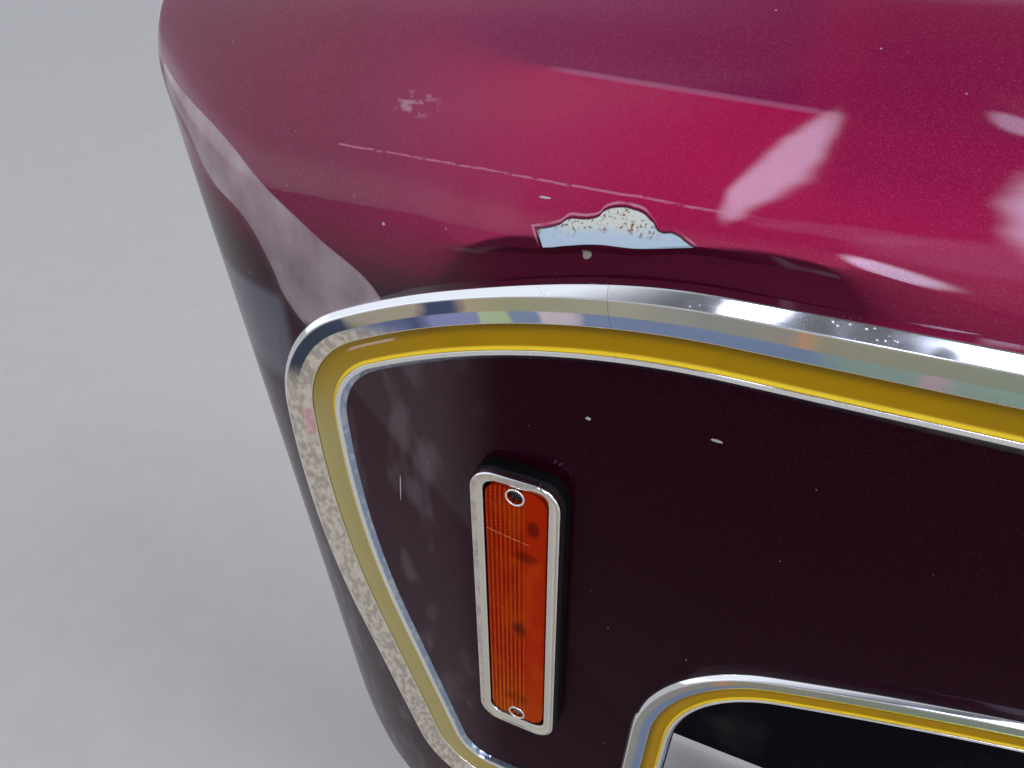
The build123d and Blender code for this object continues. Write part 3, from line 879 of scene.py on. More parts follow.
def make_mouldings(bright, yellow):
    """The four bright strips, each with its painted channel."""
    foot = ARCH_MOULD_BOTTOM_Z
    runs = {
        "upper": (upper_route(), MOULD_W, MOULD_H, lip_reach),
        "corner": (corner_route(), MOULD_W, MOULD_H, lip_reach),
        "arch": (arch_route(ARCH_MOULD_W / 2, foot, foot), ARCH_MOULD_W, ARCH_MOULD_H, None),
        "lower_rear": (lower_rear_route(), MOULD_W, MOULD_H, None),
    }
    for name, (route, width, height, reach) in runs.items():
        strip = swept(f"strip_{name}", route, scaled(STRIP_CORNERS, width, height), bright, reach)
        in_place_of(strip, f"moulding_{name}")
        paint = swept(f"channel_{name}", route, scaled(INSERT_CORNERS, width, height), yellow)
        in_place_of(paint, f"insert_{name}")


# Side marker lamp, built outwards from the panel

def ring(name, width, height, corner_r, profile, material, sharp=35):
    """Closed frame: a profile (u in from the outer edge, w off the panel) round a box."""
    verts, faces, lie = [], [], []
    n = len(profile)
    rim = max(u for u, w in profile)
    for u, w in profile:
        r = max(corner_r - u, 0.6 * MM)
        for x, z in rounded_box(width - 2 * u, height - 2 * u, r):
            verts.append((LAMP_X + x, TRIM_Y - w, LAMP_Z + z))
            lie.append((0.0, u / rim, w))
    m = len(verts) // n
    for k in range(n):
        for i in range(m):
            j, after = (i + 1) % m, (k + 1) % n
            faces.append([k * m + i, k * m + j, after * m + j, after * m + i])
    piece = mesh_piece(name, verts, faces, material)
    mark_lie(piece, lie)
    return tidy(piece, sharp)


def make_bezel(bright):
    """The bright frame round the lens."""
    t = BEZEL_T
    corners = [
        (0, PAD_T, 0), (0, PAD_T + t, 2.0 * MM), (2.0 * MM, PAD_T + t, 0.6 * MM),
        (BEZEL_RIM - 0.5 * MM, PAD_T + 0.52 * t, 0.5 * MM), (BEZEL_RIM, PAD_T, 0),
    ]
    bezel = ring("lamp_rim", LAMP_W, LAMP_H, LAMP_R, rounded(corners), bright)
    in_place_of(bezel, "lamp_bezel")


def make_gasket(rubber):
    """The pad under the bezel."""
    corners = [
        (0, 0, 0), (0, PAD_T, 2.6 * MM), (3 * MM, PAD_T, 0.4 * MM),
        (BEZEL_RIM + PAD_MARGIN, PAD_T - 0.5 * MM, 0.4 * MM), (BEZEL_RIM + PAD_MARGIN, 0, 0),
    ]
    w, h = LAMP_W + 2 * PAD_MARGIN, LAMP_H + 2 * PAD_MARGIN
    gasket = ring("lamp_gasket", w, h, LAMP_R + PAD_MARGIN, rounded(corners), rubber)
    in_place_of(gasket, "lamp_pad")


def lens_body(material):
    """Lens with soft edges; its two stepped screw seats are cut in make_lens."""
    w, h = LAMP_W - 2 * (BEZEL_RIM + LENS_GAP), LAMP_H - 2 * (BEZEL_RIM + LENS_GAP)
    top = PAD_T + BEZEL_T - LENS_RECESS
    corners = [
        (0, top - LENS_T, 0), (0, top, 0.9 * MM), (4 * MM, top + 0.3 * MM, 2 * MM),
        (w / 2 - 1 * MM, top + 0.4 * MM, 0),
    ]
    profile = rounded(corners)
    verts, faces = [], []
    for u, t in profile:
        r = max(LAMP_R - BEZEL_RIM / 2 - LENS_GAP - u, 0.5 * MM)
        verts += [(LAMP_X + x, TRIM_Y - t, LAMP_Z + z) for x, z in rounded_box(w - 2 * u, h - 2 * u, r)]
    m = len(verts) // len(profile)
    for k in range(len(profile) - 1):
        for i in range(m):
            j = (i + 1) % m
            faces.append([k * m + i, k * m + j, (k + 1) * m + j, (k + 1) * m + i])
    faces.append(list(range(m)))
    faces.append([len(verts) - m + i for i in range(m)])
    return tidy(mesh_piece("lamp_glass", verts, faces, material), 35)


def add_flutes(lens, material):
    """Upright flutes over the front part of the lens face, as an array of half-round bars."""
    tree = bpy.data.node_groups.new("lens_flutes", "GeometryNodeTree")
    face = tree.interface
    face.new_socket("Geometry", in_out="INPUT", socket_type="NodeSocketGeometry")
    sizes = {"Pitch": FLUTE_PITCH, "Radius": FLUTE_R, "Length": FLUTE_L}
    for name, value in sizes.items():
        socket = face.new_socket(name, in_out="INPUT", socket_type="NodeSocketFloat")
        socket.default_value = value
    count = face.new_socket("Count", in_out="INPUT", socket_type="NodeSocketInt")
    count.default_value = FLUTES
    face.new_socket("Geometry", in_out="OUTPUT", socket_type="NodeSocketGeometry")

    def node(kind, settings=None, inputs=None):
        n = tree.nodes.new(kind)
        for key, value in (settings or {}).items():
            setattr(n, key, value)
        for key, value in (inputs or {}).items():
            if isinstance(value, bpy.types.NodeSocket):
                tree.links.new(value, n.inputs[key])
            else:
                n.inputs[key].default_value = value
        return n

    sized = node("NodeGroupInput")
    bar = node("GeometryNodeMeshCylinder", {"fill_type": "TRIANGLE_FAN"}, {
        "Vertices": 14, "Side Segments": 1, "Radius": sized.outputs["Radius"],
        "Depth": sized.outputs["Length"],
    })
    step = node("ShaderNodeCombineXYZ", {}, {"X": sized.outputs["Pitch"]})
    row = node("GeometryNodeMeshLine", {}, {"Count": sized.outputs["Count"], "Offset": step.outputs[0]})
    bars = node("GeometryNodeInstanceOnPoints", {}, {
        "Points": row.outputs["Mesh"], "Instance": bar.outputs["Mesh"],
    })
    real = node("GeometryNodeRealizeInstances", {}, {"Geometry": bars.outputs["Instances"]})
    smooth_bars = node("GeometryNodeSetShadeSmooth", {}, {"Geometry": real.outputs["Geometry"]})
    finished = node("GeometryNodeSetMaterial", {}, {
        "Geometry": smooth_bars.outputs["Geometry"], "Material": material,
    })
    out = node("NodeGroupOutput")
    tree.links.new(finished.outputs["Geometry"], out.inputs["Geometry"])

    holder = mesh_piece("flutes", [], [])
    array = holder.modifiers.new("flutes", "NODES")
    array.node_group = tree
    for item in tree.interface.items_tree:
        if item.in_out == "INPUT" and item.name == "Count":
            array[item.identifier] = FLUTES
    bake_modifiers(holder)
    w = LAMP_W - 2 * (BEZEL_RIM + LENS_GAP)
    face_y = TRIM_Y - (PAD_T + BEZEL_T - LENS_RECESS) - FLUTE_SINK
    place = Matrix.Translation((LAMP_X - w / 2 + FLUTE_INSET, face_y, LAMP_Z - FLUTE_DROP))
    holder.data.transform(place @ Matrix.Scale(FLUTE_FLATTEN, 4, (0, 1, 0)))
    join_into(lens, holder)


def join_into(piece, *others):
    """Adds other pieces' meshes to a piece's own."""
    bm = bmesh.new()
    bm.from_mesh(piece.data)
    for other in others:
        bm.from_mesh(other.data)
        bpy.data.objects.remove(other)
    bm.to_mesh(piece.data)
    bm.free()
    piece.data.set_sharp_from_angle(angle=radians(35))
    return piece


def turned(name, profile, at, material, segments=40, sharp=35):
    """Round piece about an axis that points off the panel: profile of (radius, height)."""
    verts, faces = [], []
    x, w, z = at
    for r, h in profile:
        for k in range(segments):
            a = 2 * pi * k / segments
            verts.append((x + r * cos(a), TRIM_Y - w - h, z + r * sin(a)))
    for i in range(len(profile) - 1):
        for k in range(segments):
            j = (k + 1) % segments
            a, b = i * segments, (i + 1) * segments
            faces.append([a + k, a + j, b + j, b + k])
    return tidy(mesh_piece(name, verts, faces, material), sharp)


def make_lens(amber):
    """The lens with its flutes and screw seats."""
    lens = lens_body(amber)
    add_flutes(lens, amber)
    top = PAD_T + BEZEL_T - LENS_RECESS
    for z in (LAMP_H / 2 - SCREW_INSET, SCREW_INSET - LAMP_H / 2):
        seat = turned(
            "seat", [(0, 0), (SCREW_R + 0.5 * MM, 0), (SCREW_R + 0.5 * MM, 9 * MM), (0, 9 * MM)],
            (LAMP_X, top - SCREW_SEAT, LAMP_Z + z), None,
        )
        cut(lens, seat, "DIFFERENCE")
    tidy(lens, 35)
    in_place_of(lens, "lamp_lens")


def make_screws(steel, dark, pale):
    """Domed cross-head screws in their seats, each under a pale ring."""
    top = PAD_T + BEZEL_T - LENS_RECESS
    for name, z in (("top", LAMP_H / 2 - SCREW_INSET), ("low", SCREW_INSET - LAMP_H / 2)):
        at = (LAMP_X, top - SCREW_SEAT, LAMP_Z + z)
        head = [(0, -SHANK_L), (SHANK_R, -SHANK_L), (SHANK_R, 0), (SCREW_R, 0)]
        for a in [k * pi / 16 for k in range(8)]:
            head.append((SCREW_R * cos(a), HEAD_EDGE + HEAD_DOME * sin(a)))
        finish = dark if name == "top" else steel
        screw = turned(f"screw_{name}", head + [(0, HEAD_EDGE + HEAD_DOME)], at, finish)
        u, v = CROSS_L / 2, CROSS_W / 2
        for turn in (0, pi / 2):
            slot = prism("slot", [(-u, -v), (u, -v), (u, v), (-u, v)], -3 * MM, 0.0)
            place = Matrix.Translation((at[0], TRIM_Y - at[1] - CROSS_H, at[2]))
            slot.data.transform(place @ Matrix.Rotation(turn + CROSS_TURN, 4, "Y"))
            cut(screw, slot, "DIFFERENCE")
        tidy(screw, 35)
        in_place_of(screw, "lamp_screws")
        ring_r = SCREW_R + 0.9 * MM
        profile = [
            (ring_r + RIM_R * cos(a), SCREW_SEAT + RIM_H / 2 + RIM_H * sin(a))
            for a in [2 * pi * k / 12 for k in range(13)]
        ]
        rim = turned(f"screw_rim_{name}", profile, at, pale)
        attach(rim, "root")


# Finishes

# Chip over the crease: where it lies, and its outline as shares of its length and height
CHIP_X = (-413.5 * MM, -356 * MM)
CHIP_TOP_LEFT_Z = -77 * MM
CHIP_Z, CHIP_H = -85.5 * MM, 21 * MM
CHIP_TOP = [
    (0.0, 0.405), (0.14, 0.53), (0.223, 0.676), (0.322, 0.70), (0.397, 0.776), (0.423, 0.867),
    (0.50, 0.957), (0.626, 0.957), (0.729, 0.83), (0.795, 0.68), (0.861, 0.695), (0.96, 0.58),
    (1.0, 0.52),
]
CHIP_FOOT = [(0.0, 0.095), (0.078, 0.119), (0.217, 0.214), (0.409, 0.32), (0.67, 0.367), (1.0, 0.52)]
FLAKE_AT = (-395 * MM, -85 * MM)

# Where the painted light of the crown ends over the painted shade of the side, from front to rear:
# heights as shares
EDGE_X = (-540 * MM, -180 * MM)
EDGE_Z, EDGE_H = -120 * MM, 60 * MM
EDGE_CURVE = [
    (0.0, 0.30), (0.10, 0.27), (0.20, 0.36), (0.272, 0.53), (0.306, 0.617), (0.342, 0.667),
    (0.417, 0.683), (0.458, 0.70), (0.533, 0.783), (0.586, 0.80), (0.65, 0.75), (0.75, 0.58),
    (0.85, 0.53), (1.0, 0.50),
]

# Painted light on the crown from front to rear, and the arc above which a painted reflection makes the
# crown duller
CROWN_X = (-610 * MM, -210 * MM)
CROWN_COLOURS = [
    (0.0, (0.110, 0.0040, 0.026)), (0.26, (0.135, 0.0042, 0.032)), (0.375, (0.240, 0.0050, 0.052)),
    (0.475, (0.330, 0.0050, 0.060)), (0.625, (0.350, 0.0045, 0.058)), (0.74, (0.315, 0.0036, 0.050)),
    (0.86, (0.290, 0.0034, 0.048)), (1.0, (0.290, 0.0040, 0.050)),
]
ARC_AT = (-395 * MM, -28.5 * MM)

# Band of painted reflection over the nose: its rear and front edges as shares, from low to high
BAND_Z, BAND_X = (-150 * MM, -40 * MM), (-610 * MM, -480 * MM)
BAND_REAR = [
    (0.0, 1.0), (0.273, 0.954), (0.482, 0.731), (0.631, 0.55), (0.785, 0.369), (0.966, 0.042), (1.0, 0.0),
]
BAND_FRONT = [
    (0.0, 0.654), (0.071, 0.605), (0.189, 0.536), (0.285, 0.512), (0.493, 0.415), (0.609, 0.246),
    (0.782, 0.127), (0.909, 0.0), (1.0, 0.0),
]
SCUFF_AT = (-471 * MM, -42 * MM)

# Long scratch on the crown: start x and z, end x, fall per length
LONG_SCRATCH = (-504 * MM, -58.6 * MM, -330 * MM, 0.022)

# Nicks: x, z, half length, half height, lean
NICKS = [
    (-487 * MM, -229 * MM, 0.35 * MM, 10 * MM, 0.09),
    (-389.2 * MM, -155.4 * MM, 1.3 * MM, 0.9 * MM, 0.0),
    (-337.1 * MM, -150.2 * MM, 2.6 * MM, 0.7 * MM, -0.5),
    (-412 * MM, -66 * MM, 2.5 * MM, 0.4 * MM, 0.0),
    (-480.5 * MM, -86 * MM, 0.8 * MM, 0.8 * MM, 0.0),
]


def broad_break(shade, at):
    """Broad patches in which a lifted edge shows."""
    return shade.noise(at, 70, 2).over(0.40, 0.55)


def crown_colour(shade, x, z, cloud):
    """Painted light on the crown, duller to the front; a painted reflection dulls it above the arc, and a
    painted dark reflection lies over the wheel.
    """
    low = shade.ramp(x.share(CROWN_X), CROWN_COLOURS)
    # A painted dark reflection over the wheel
    painted_dark_reflection = x.over(-332 * MM, -312 * MM) * x.over(-250 * MM, -270 * MM) * z.over(-62 * MM, -44 * MM)
    low = shade.mix(painted_dark_reflection, low, (0.235, 0.0028, 0.044))
    # A painted reflection: the crown is duller above the arc
    arc = z - (ARC_AT[1] - (x - ARC_AT[0]) * 0.05)
    width = shade.mix_value(x.over(-455 * MM, -420 * MM), 14 * MM, 1.4 * MM)
    above = (arc * (1 / width)).over(-0.6, 0.6) * x.over(-520 * MM, -440 * MM)
    above = above * shade.mix_value(x.over(-345 * MM, -315 * MM), 1.0, 0.35)
    colour = shade.mix(above, low, (0.165, 0.0042, 0.050))
    return shade.mix(cloud.over(0.3, 0.7) * 0.12, colour, (0.42, 0.010, 0.09))


def nose_band(shade, x, z, streaks):
    """Share of the band of painted reflection that runs down across the nose."""
    high = z.share(BAND_Z)
    span = BAND_X[1] - BAND_X[0]
    rear = shade.curve(high, BAND_REAR) * span
    front = shade.curve(high, BAND_FRONT) * span
    off = x - BAND_X[0]
    inside = (rear - off).over(-0.8 * MM, 0.8 * MM) * (off - front).over(-0.8 * MM, 0.8 * MM)
    inside = inside * z.over(-146 * MM, -140 * MM)
    below = (front - off).over(0, 6 * MM) * z.over(-60 * MM, -90 * MM)
    return inside * (0.72 + (streaks - 0.5) * 1.1).clamp(), below


def paint_finish():
    """Burgundy: painted light on the crown and painted shade on the side, painted reflections and glints,
    dust, the chip, scratches and nicks.
    """
    shade = Shade("burgundy_metallic")
    at, (x, y, z) = shade.place()
    flake = shade.node("ShaderNodeSeparateColor", {}, {"Color": shade.cells(at, 3200, out="Color")})
    cloud = shade.noise(at, 9, 1)
    # Painted light and shade: a bright crown colour above the edge, a dark side colour below it
    edge = shade.curve(x.share(EDGE_X), EDGE_CURVE) * EDGE_H + EDGE_Z
    crisp = x.over(-462 * MM, -440 * MM) * x.over(-285 * MM, -315 * MM)
    crown_light_share = (z - edge) * (1 / shade.mix_value(crisp, 34 * MM, 1.6 * MM))
    crown_light_share = crown_light_share.over(-0.6, 0.6)
    # The side's painted shade: lighter to the front where a painted reflection falls, and a lighter
    # painted shade between the moulding and the crease
    left = x.over(-425 * MM, -470 * MM)
    side = shade.mix(left, (0.0130, 0.0001, 0.0038), (0.024, 0.0030, 0.0085))
    under = z.over(-114 * MM, -96 * MM) * x.over(-490 * MM, -450 * MM)
    side = shade.mix(under * 0.8, side, (0.085, 0.0050, 0.021))
    base = shade.mix(crown_light_share, side, crown_colour(shade, x, z, cloud))
    # A painted highlight: a pale line along the arc
    arc = abs(z - (ARC_AT[1] - (x - ARC_AT[0]) * 0.05)).over(1.1 * MM, 0.3 * MM)
    arc = arc * x.over(-425 * MM, -410 * MM) * x.over(-322 * MM, -330 * MM)
    base = shade.mix(arc * 0.28, base, (0.50, 0.22, 0.34))
    # Painted glints: pale flakes shown only on the crown's painted light
    base = shade.mix(flake.over(0.72, 1.0) * 0.28 * crown_light_share.over(-0.4, 1), base, (0.50, 0.06, 0.16))

    # Painted reflections: the band over the nose, and a mottled patch low on the front of the side.
    # Between them, a greyish strip at the very front
    streaks = shade.noise(shade.stretch(at, (1.0, 1.0, 0.6)), 70, 2)
    band, shadow = nose_band(shade, x, z, streaks)
    mottle = shade.noise(shade.stretch(at, (1, 1, 0.45)), 62, 2)
    mottled_reflection = mottle.over(0.50, 0.72) * z.over(-120 * MM, -165 * MM) * x.over(-425 * MM, -470 * MM)
    base = shade.mix(mottled_reflection * 0.45, base, (0.130, 0.095, 0.105))
    grey = z.over(-128 * MM, -136 * MM) * z.over(-190 * MM, -176 * MM) * x.over(-538 * MM, -546 * MM)
    base = shade.mix(grey * 0.6, base, (0.15, 0.15, 0.18))
    base = shade.mix(band, base, (0.37, 0.29, 0.30))
    scuff_x, scuff_z = x - SCUFF_AT[0], z - SCUFF_AT[1]
    scuff = ((scuff_x * scuff_x) + (scuff_z * scuff_z) * 6).sqrt().over(13 * MM, 5 * MM)
    scuff = scuff * shade.noise(shade.stretch(at, (1, 1, 2)), 190, 2).over(0.50, 0.66)
    base = shade.mix(scuff * 0.45, base, (0.50, 0.33, 0.42))

    # Chip along the crease: bare filler, whiter at its foot, with rust specks
    rough_edge = (shade.noise(at, 260, 2) - 0.5) * (2.4 * MM)
    along = x.share(CHIP_X)
    top = shade.curve(along, CHIP_TOP) * CHIP_H + CHIP_Z
    foot = shade.curve(along, CHIP_FOOT) * CHIP_H + CHIP_Z
    depth = (top + rough_edge * 0.3 - z).min(z - foot)
    depth = depth.min(x - CHIP_X[0] + (z - CHIP_TOP_LEFT_Z) * 0.48).min(CHIP_X[1] - x)
    inside = depth.over(-0.1 * MM, 0.2 * MM)
    rim = depth.over(-0.9 * MM, -0.3 * MM) * depth.over(0.25 * MM, 0.0)
    flake_x, flake_z = x - FLAKE_AT[0], z - FLAKE_AT[1]
    small = ((flake_x * flake_x) * 2 + flake_z * flake_z).sqrt() + rough_edge * 1.2
    small = small.over(2.4 * MM, 1.9 * MM)
    grit = shade.noise(at, 900, 2, 0.6)
    blotch = shade.noise(at, 130, 1)
    filler = shade.mix(
        (z - foot).over(3 * MM, 8 * MM) * along.over(0.1, 0.25) * along.over(0.85, 0.65),
        (0.45, 0.55, 0.62), (0.60, 0.62, 0.54),
    )
    rust = grit.over(0.52, 0.66) * blotch.over(0.44, 0.6) * (z - foot).over(2.5 * MM, 5 * MM)
    filler = shade.mix(rust, filler, (0.20, 0.075, 0.022))
    filler = shade.mix(small, filler, (0.30, 0.26, 0.20))
    bare = inside.max(small)
    lifted = depth.over(-2.1 * MM, -1.5 * MM) * depth.over(-0.8 * MM, -1.2 * MM)
    lifted = lifted * (z - foot).over(0, 3 * MM) * broad_break(shade, at)
    base = shade.mix(lifted * 0.55, base, (0.62, 0.36, 0.44))
    # A painted shadow: a dark line just outside the chip's edge
    base = shade.mix(rim * 0.8, base, (0.006, 0.0015, 0.004))
    base = shade.mix(bare, base, filler)

    # Scratches and nicks
    wander = (shade.noise(shade.stretch(at, (1, 0, 0)), 60, 1) - 0.5) * (1.6 * MM)
    line = abs(z - (LONG_SCRATCH[1] - (x - LONG_SCRATCH[0]) * LONG_SCRATCH[3] + wander))
    broken = shade.noise(shade.stretch(at, (1, 1, 6)), 240, 2)
    scratch = line.over(0.55 * MM, 0.2 * MM) * broken.over(0.36, 0.5)
    scratch = scratch * x.over(LONG_SCRATCH[0], LONG_SCRATCH[0] + 2 * MM)
    scratch = scratch * x.over(LONG_SCRATCH[2], LONG_SCRATCH[2] - 30 * MM)
    base = shade.mix(scratch * 0.75, base, (0.50, 0.17, 0.24))
    marks = scratch * 0.5
    for (u, v, w, h, lean) in NICKS:
        up = z - v
        far = shade.spread(x - u - up * lean, up, w, h)
        mark = (far + (grit - 0.5) * 0.8).over(1.05, 0.75)
        base = shade.mix(mark, base, (0.45, 0.42, 0.38))
        marks = marks.max(mark)
    dust = shade.cells(at, 95).over(0.045, 0.030) * shade.noise(at, 23, 2).over(0.52, 0.6)
    base = shade.mix(dust * 0.7, base, (0.40, 0.36, 0.36))

    gloss = 1 - bare.max(marks)
    peel = shade.noise(at, 420, 0)
    layers = shade.bump(peel, 0.04, 0.0005)
    layers = shade.bump(depth.over(-0.2 * MM, 0.3 * MM) * -1.0, 0.9, 0.0007, layers)
    return shade.finish(
        Base_Color=base, Roughness=shade.mix_value(bare, 0.42 + flake * 0.05, 0.75),
        Metallic=(1 - bare) * 0.35, Specular_IOR_Level=0.02,
        Coat_Weight=gloss * shade.mix_value(crown_light_share.max(left), 0.10, 1.0) * (1 - shadow * 0.45),
        Coat_Roughness=0.035, Coat_IOR=1.48,
        Normal=layers,
    )


def inside_finish():
    """The panel's unseen side: a thin dull coat of the body colour, dusty in places."""
    shade = Shade("burgundy_inside")
    at = shade.object_place()
    dust = shade.noise(at, 11, 3)
    grain = shade.noise(at, 320, 3)
    return shade.finish(
        Base_Color=shade.mix(dust.over(0.45, 0.80), (0.052, 0.0024, 0.0130), (0.085, 0.050, 0.048)),
        Roughness=0.50 + dust * 0.25, Specular_IOR_Level=0.25,
        Normal=shade.bump(grain, 0.15, 0.0004),
    )


# Painted reflections along the facets of the mouldings, from front to rear
REFLECTION_X = (-540 * MM, -240 * MM)
UPPER_FACET_REFLECTIONS = [
    (0.0, (0.08, 0.11, 0.18)), (0.125, (0.09, 0.12, 0.20)), (0.145, (0.62, 0.55, 0.42)),
    (0.25, (0.66, 0.58, 0.42)), (0.272, (0.10, 0.13, 0.24)), (0.305, (0.10, 0.13, 0.24)),
    (0.325, (0.74, 0.60, 0.38)), (0.40, (0.56, 0.55, 0.34)), (0.55, (0.63, 0.59, 0.45)),
    (0.64, (0.46, 0.47, 0.43)), (0.735, (0.50, 0.46, 0.38)), (0.755, (0.84, 0.47, 0.27)),
    (0.775, (0.50, 0.47, 0.34)), (1.0, (0.41, 0.48, 0.36)),
]
LOWER_FACET_REFLECTIONS = [
    (0.0, (0.88, 0.78, 0.60)), (0.118, (0.88, 0.78, 0.60)), (0.133, (0.24, 0.30, 0.50)),
    (0.22, (0.20, 0.25, 0.44)), (0.25, (0.12, 0.15, 0.27)), (0.285, (0.42, 0.45, 0.78)),
    (0.345, (0.44, 0.47, 0.76)), (0.352, (0.74, 0.88, 0.56)), (0.383, (0.70, 0.84, 0.50)),
    (0.39, (0.36, 0.47, 0.65)), (0.425, (0.36, 0.47, 0.65)), (0.433, (0.95, 0.86, 0.89)),
    (0.48, (0.96, 0.84, 0.88)), (0.49, (0.33, 0.42, 0.66)), (0.76, (0.31, 0.43, 0.64)),
    (0.80, (0.43, 0.58, 0.50)), (0.865, (0.45, 0.58, 0.51)), (0.88, (0.78, 0.58, 0.62)),
    (0.90, (0.46, 0.60, 0.52)), (1.0, (0.45, 0.66, 0.50)),
]


def moulding_finish():
    """Bright metal with painted reflections in patches along its two broad facets and its rim."""
    shade = Shade("polished_moulding_metal")
    at, (x, y, z) = shade.place()
    far, across, off = shade.lie()
    haze = shade.noise(at, 60, 2)
    wander = (shade.noise(at, 90, 1) - 0.5) * 0.05
    along = x.share(REFLECTION_X) + wander
    # Painted reflections on the two broad facets, front to rear
    upper = shade.ramp(along, UPPER_FACET_REFLECTIONS)
    lower = shade.ramp(along, LOWER_FACET_REFLECTIONS)
    speckle = shade.noise(shade.stretch(at, (1, 1, 0.6)), 330, 3)
    # Painted reflections low on the front and on the arch leg: gravel, with a pink patch and a dark one
    gravel_reflection = shade.mix(speckle.over(0.38, 0.62), (0.58, 0.51, 0.43), (0.88, 0.80, 0.68))
    down = z.over(-128 * MM, -142 * MM) * x.over(-380 * MM, -470 * MM)
    pink_reflection_z = z + 198 * MM
    pink_reflection = abs(pink_reflection_z).over(11 * MM, 4 * MM) * across.over(0.28, 0.34) * down
    lower = shade.mix(down, lower, gravel_reflection)
    lower = shade.mix(pink_reflection * 0.6, lower, (0.90, 0.42, 0.50))
    painted_dark_reflection = z.over(-178 * MM, -162 * MM)
    upper = shade.mix(down, upper, shade.mix(painted_dark_reflection, gravel_reflection, (0.07, 0.09, 0.13)))
    leg = z.over(-385 * MM, -400 * MM) * x.over(-290 * MM, -340 * MM)
    upper, lower = shade.mix(leg, upper, gravel_reflection), shade.mix(leg, lower, gravel_reflection)
    base = shade.mix(across.over(0.262, 0.278), upper, lower)
    # Thin bright lines at the channel's edges, painted reflections on the rim, and the bright lip
    base = shade.mix(across.over(0.448, 0.458), base, (0.80, 0.76, 0.62))
    rim = shade.mix(x.over(-300 * MM, -260 * MM), (0.34, 0.42, 0.56), (0.46, 0.62, 0.48))
    rim = shade.mix(speckle.over(0.5, 0.6) * 0.4, rim, (0.80, 0.82, 0.80))
    base = shade.mix(across.over(0.83, 0.85), base, (0.92, 0.92, 0.88))
    base = shade.mix(across.over(0.905, 0.925), base, rim)
    base = shade.mix(across.over(0.105, 0.085), base, (0.93, 0.94, 0.95))
    pits = shade.cells(at, 420).over(0.16, 0.08) * shade.noise(at, 40, 1).over(0.5, 0.62)
    return shade.finish(
        Base_Color=shade.mix(pits * 0.6, base, (0.20, 0.19, 0.17)),
        Metallic=1.0, Roughness=0.06 + haze.over(0.4, 0.75) * 0.07 + pits * 0.3,
        Normal=shade.bump(pits * -1.0, 0.08, 0.0002),
    )


def bezel_finish():
    """Bright metal with a clean ridge, painted dark reflections on its slopes, brownish in patches, and a
    painted bluish reflection at the top.
    """
    shade = Shade("bezel_metal_painted_reflections")
    at, (x, y, z) = shade.place()
    far, across, off = shade.lie()
    haze = shade.noise(at, 90, 2)
    # Painted reflections: dark slopes, bluish at the top
    top = z.over(LAMP_Z + LAMP_H * 0.36, LAMP_Z + LAMP_H * 0.46)
    slope_painted_reflection = shade.mix(haze.over(0.35, 0.65), (0.15, 0.145, 0.095), (0.27, 0.25, 0.18))
    slope_painted_reflection = shade.mix(top, slope_painted_reflection, (0.16, 0.19, 0.27))
    base = shade.mix(across.over(0.07, 0.17), (0.93, 0.91, 0.86), slope_painted_reflection)
    base = shade.mix(across.over(0.84, 0.92), base, (0.93, 0.86, 0.84))
    return shade.finish(
        Base_Color=base, Metallic=1.0, Roughness=0.10 + haze * 0.12,
        Normal=shade.bump(haze, 0.15, 0.0003),
    )


def yellow_finish():
    """Channel paint: painted shade under the facet, dulled to the front, a painted highlight along its
    foot.
    """
    shade = Shade("yellow_channel_paint")
    at, (x, y, z) = shade.place()
    far, across, off = shade.lie()
    dirt = shade.noise(at, 45, 2)
    fine = shade.noise(at, 500, 3)
    # Painted shade: darker under the facet, lighter towards the foot
    paint = shade.mix(across.over(0.0, 0.50), (0.17, 0.093, 0.0006), (0.385, 0.212, 0.0006))
    paint = shade.mix(dirt.over(0.4, 0.75) * 0.4, paint, (0.28, 0.165, 0.002))
    paint = shade.mix(x.over(-455 * MM, -505 * MM) * 0.7, paint, (0.30, 0.19, 0.018))
    down = z.over(-150 * MM, -215 * MM) * x.over(-380 * MM, -480 * MM)
    paint = shade.mix(down * 0.85, paint, (0.37, 0.32, 0.135))
    # A painted highlight along the channel's foot
    lit = across.over(0.84, 0.92) * (1 - down * 0.5)
    paint = shade.mix(lit, paint, (0.90, 0.62, 0.025))
    streak = abs(across - 0.28).over(0.07, 0.03) * x.over(-508 * MM, -503 * MM)
    streak = streak * x.over(-478 * MM, -482 * MM) * z.over(-160 * MM, -155 * MM)
    paint = shade.mix(streak * 0.7, paint, (0.60, 0.45, 0.34))
    return shade.finish(
        Base_Color=paint, Roughness=0.30 + dirt * 0.2, Specular_IOR_Level=0.12,
        Normal=shade.bump(fine, 0.12, 0.0003),
    )


# Painted shadows behind the lens: place from its middle, half sizes, strength
LENS_SHADOWS = [
    (1.5 * MM, -7 * MM, 6 * MM, 9 * MM, 0.75), (9 * MM, 66 * MM, 3.5 * MM, 6 * MM, 0.7),
    (6 * MM, 46 * MM, 8 * MM, 4.5 * MM, 0.55), (0.0, -68 * MM, 9 * MM, 6 * MM, 0.35),
]


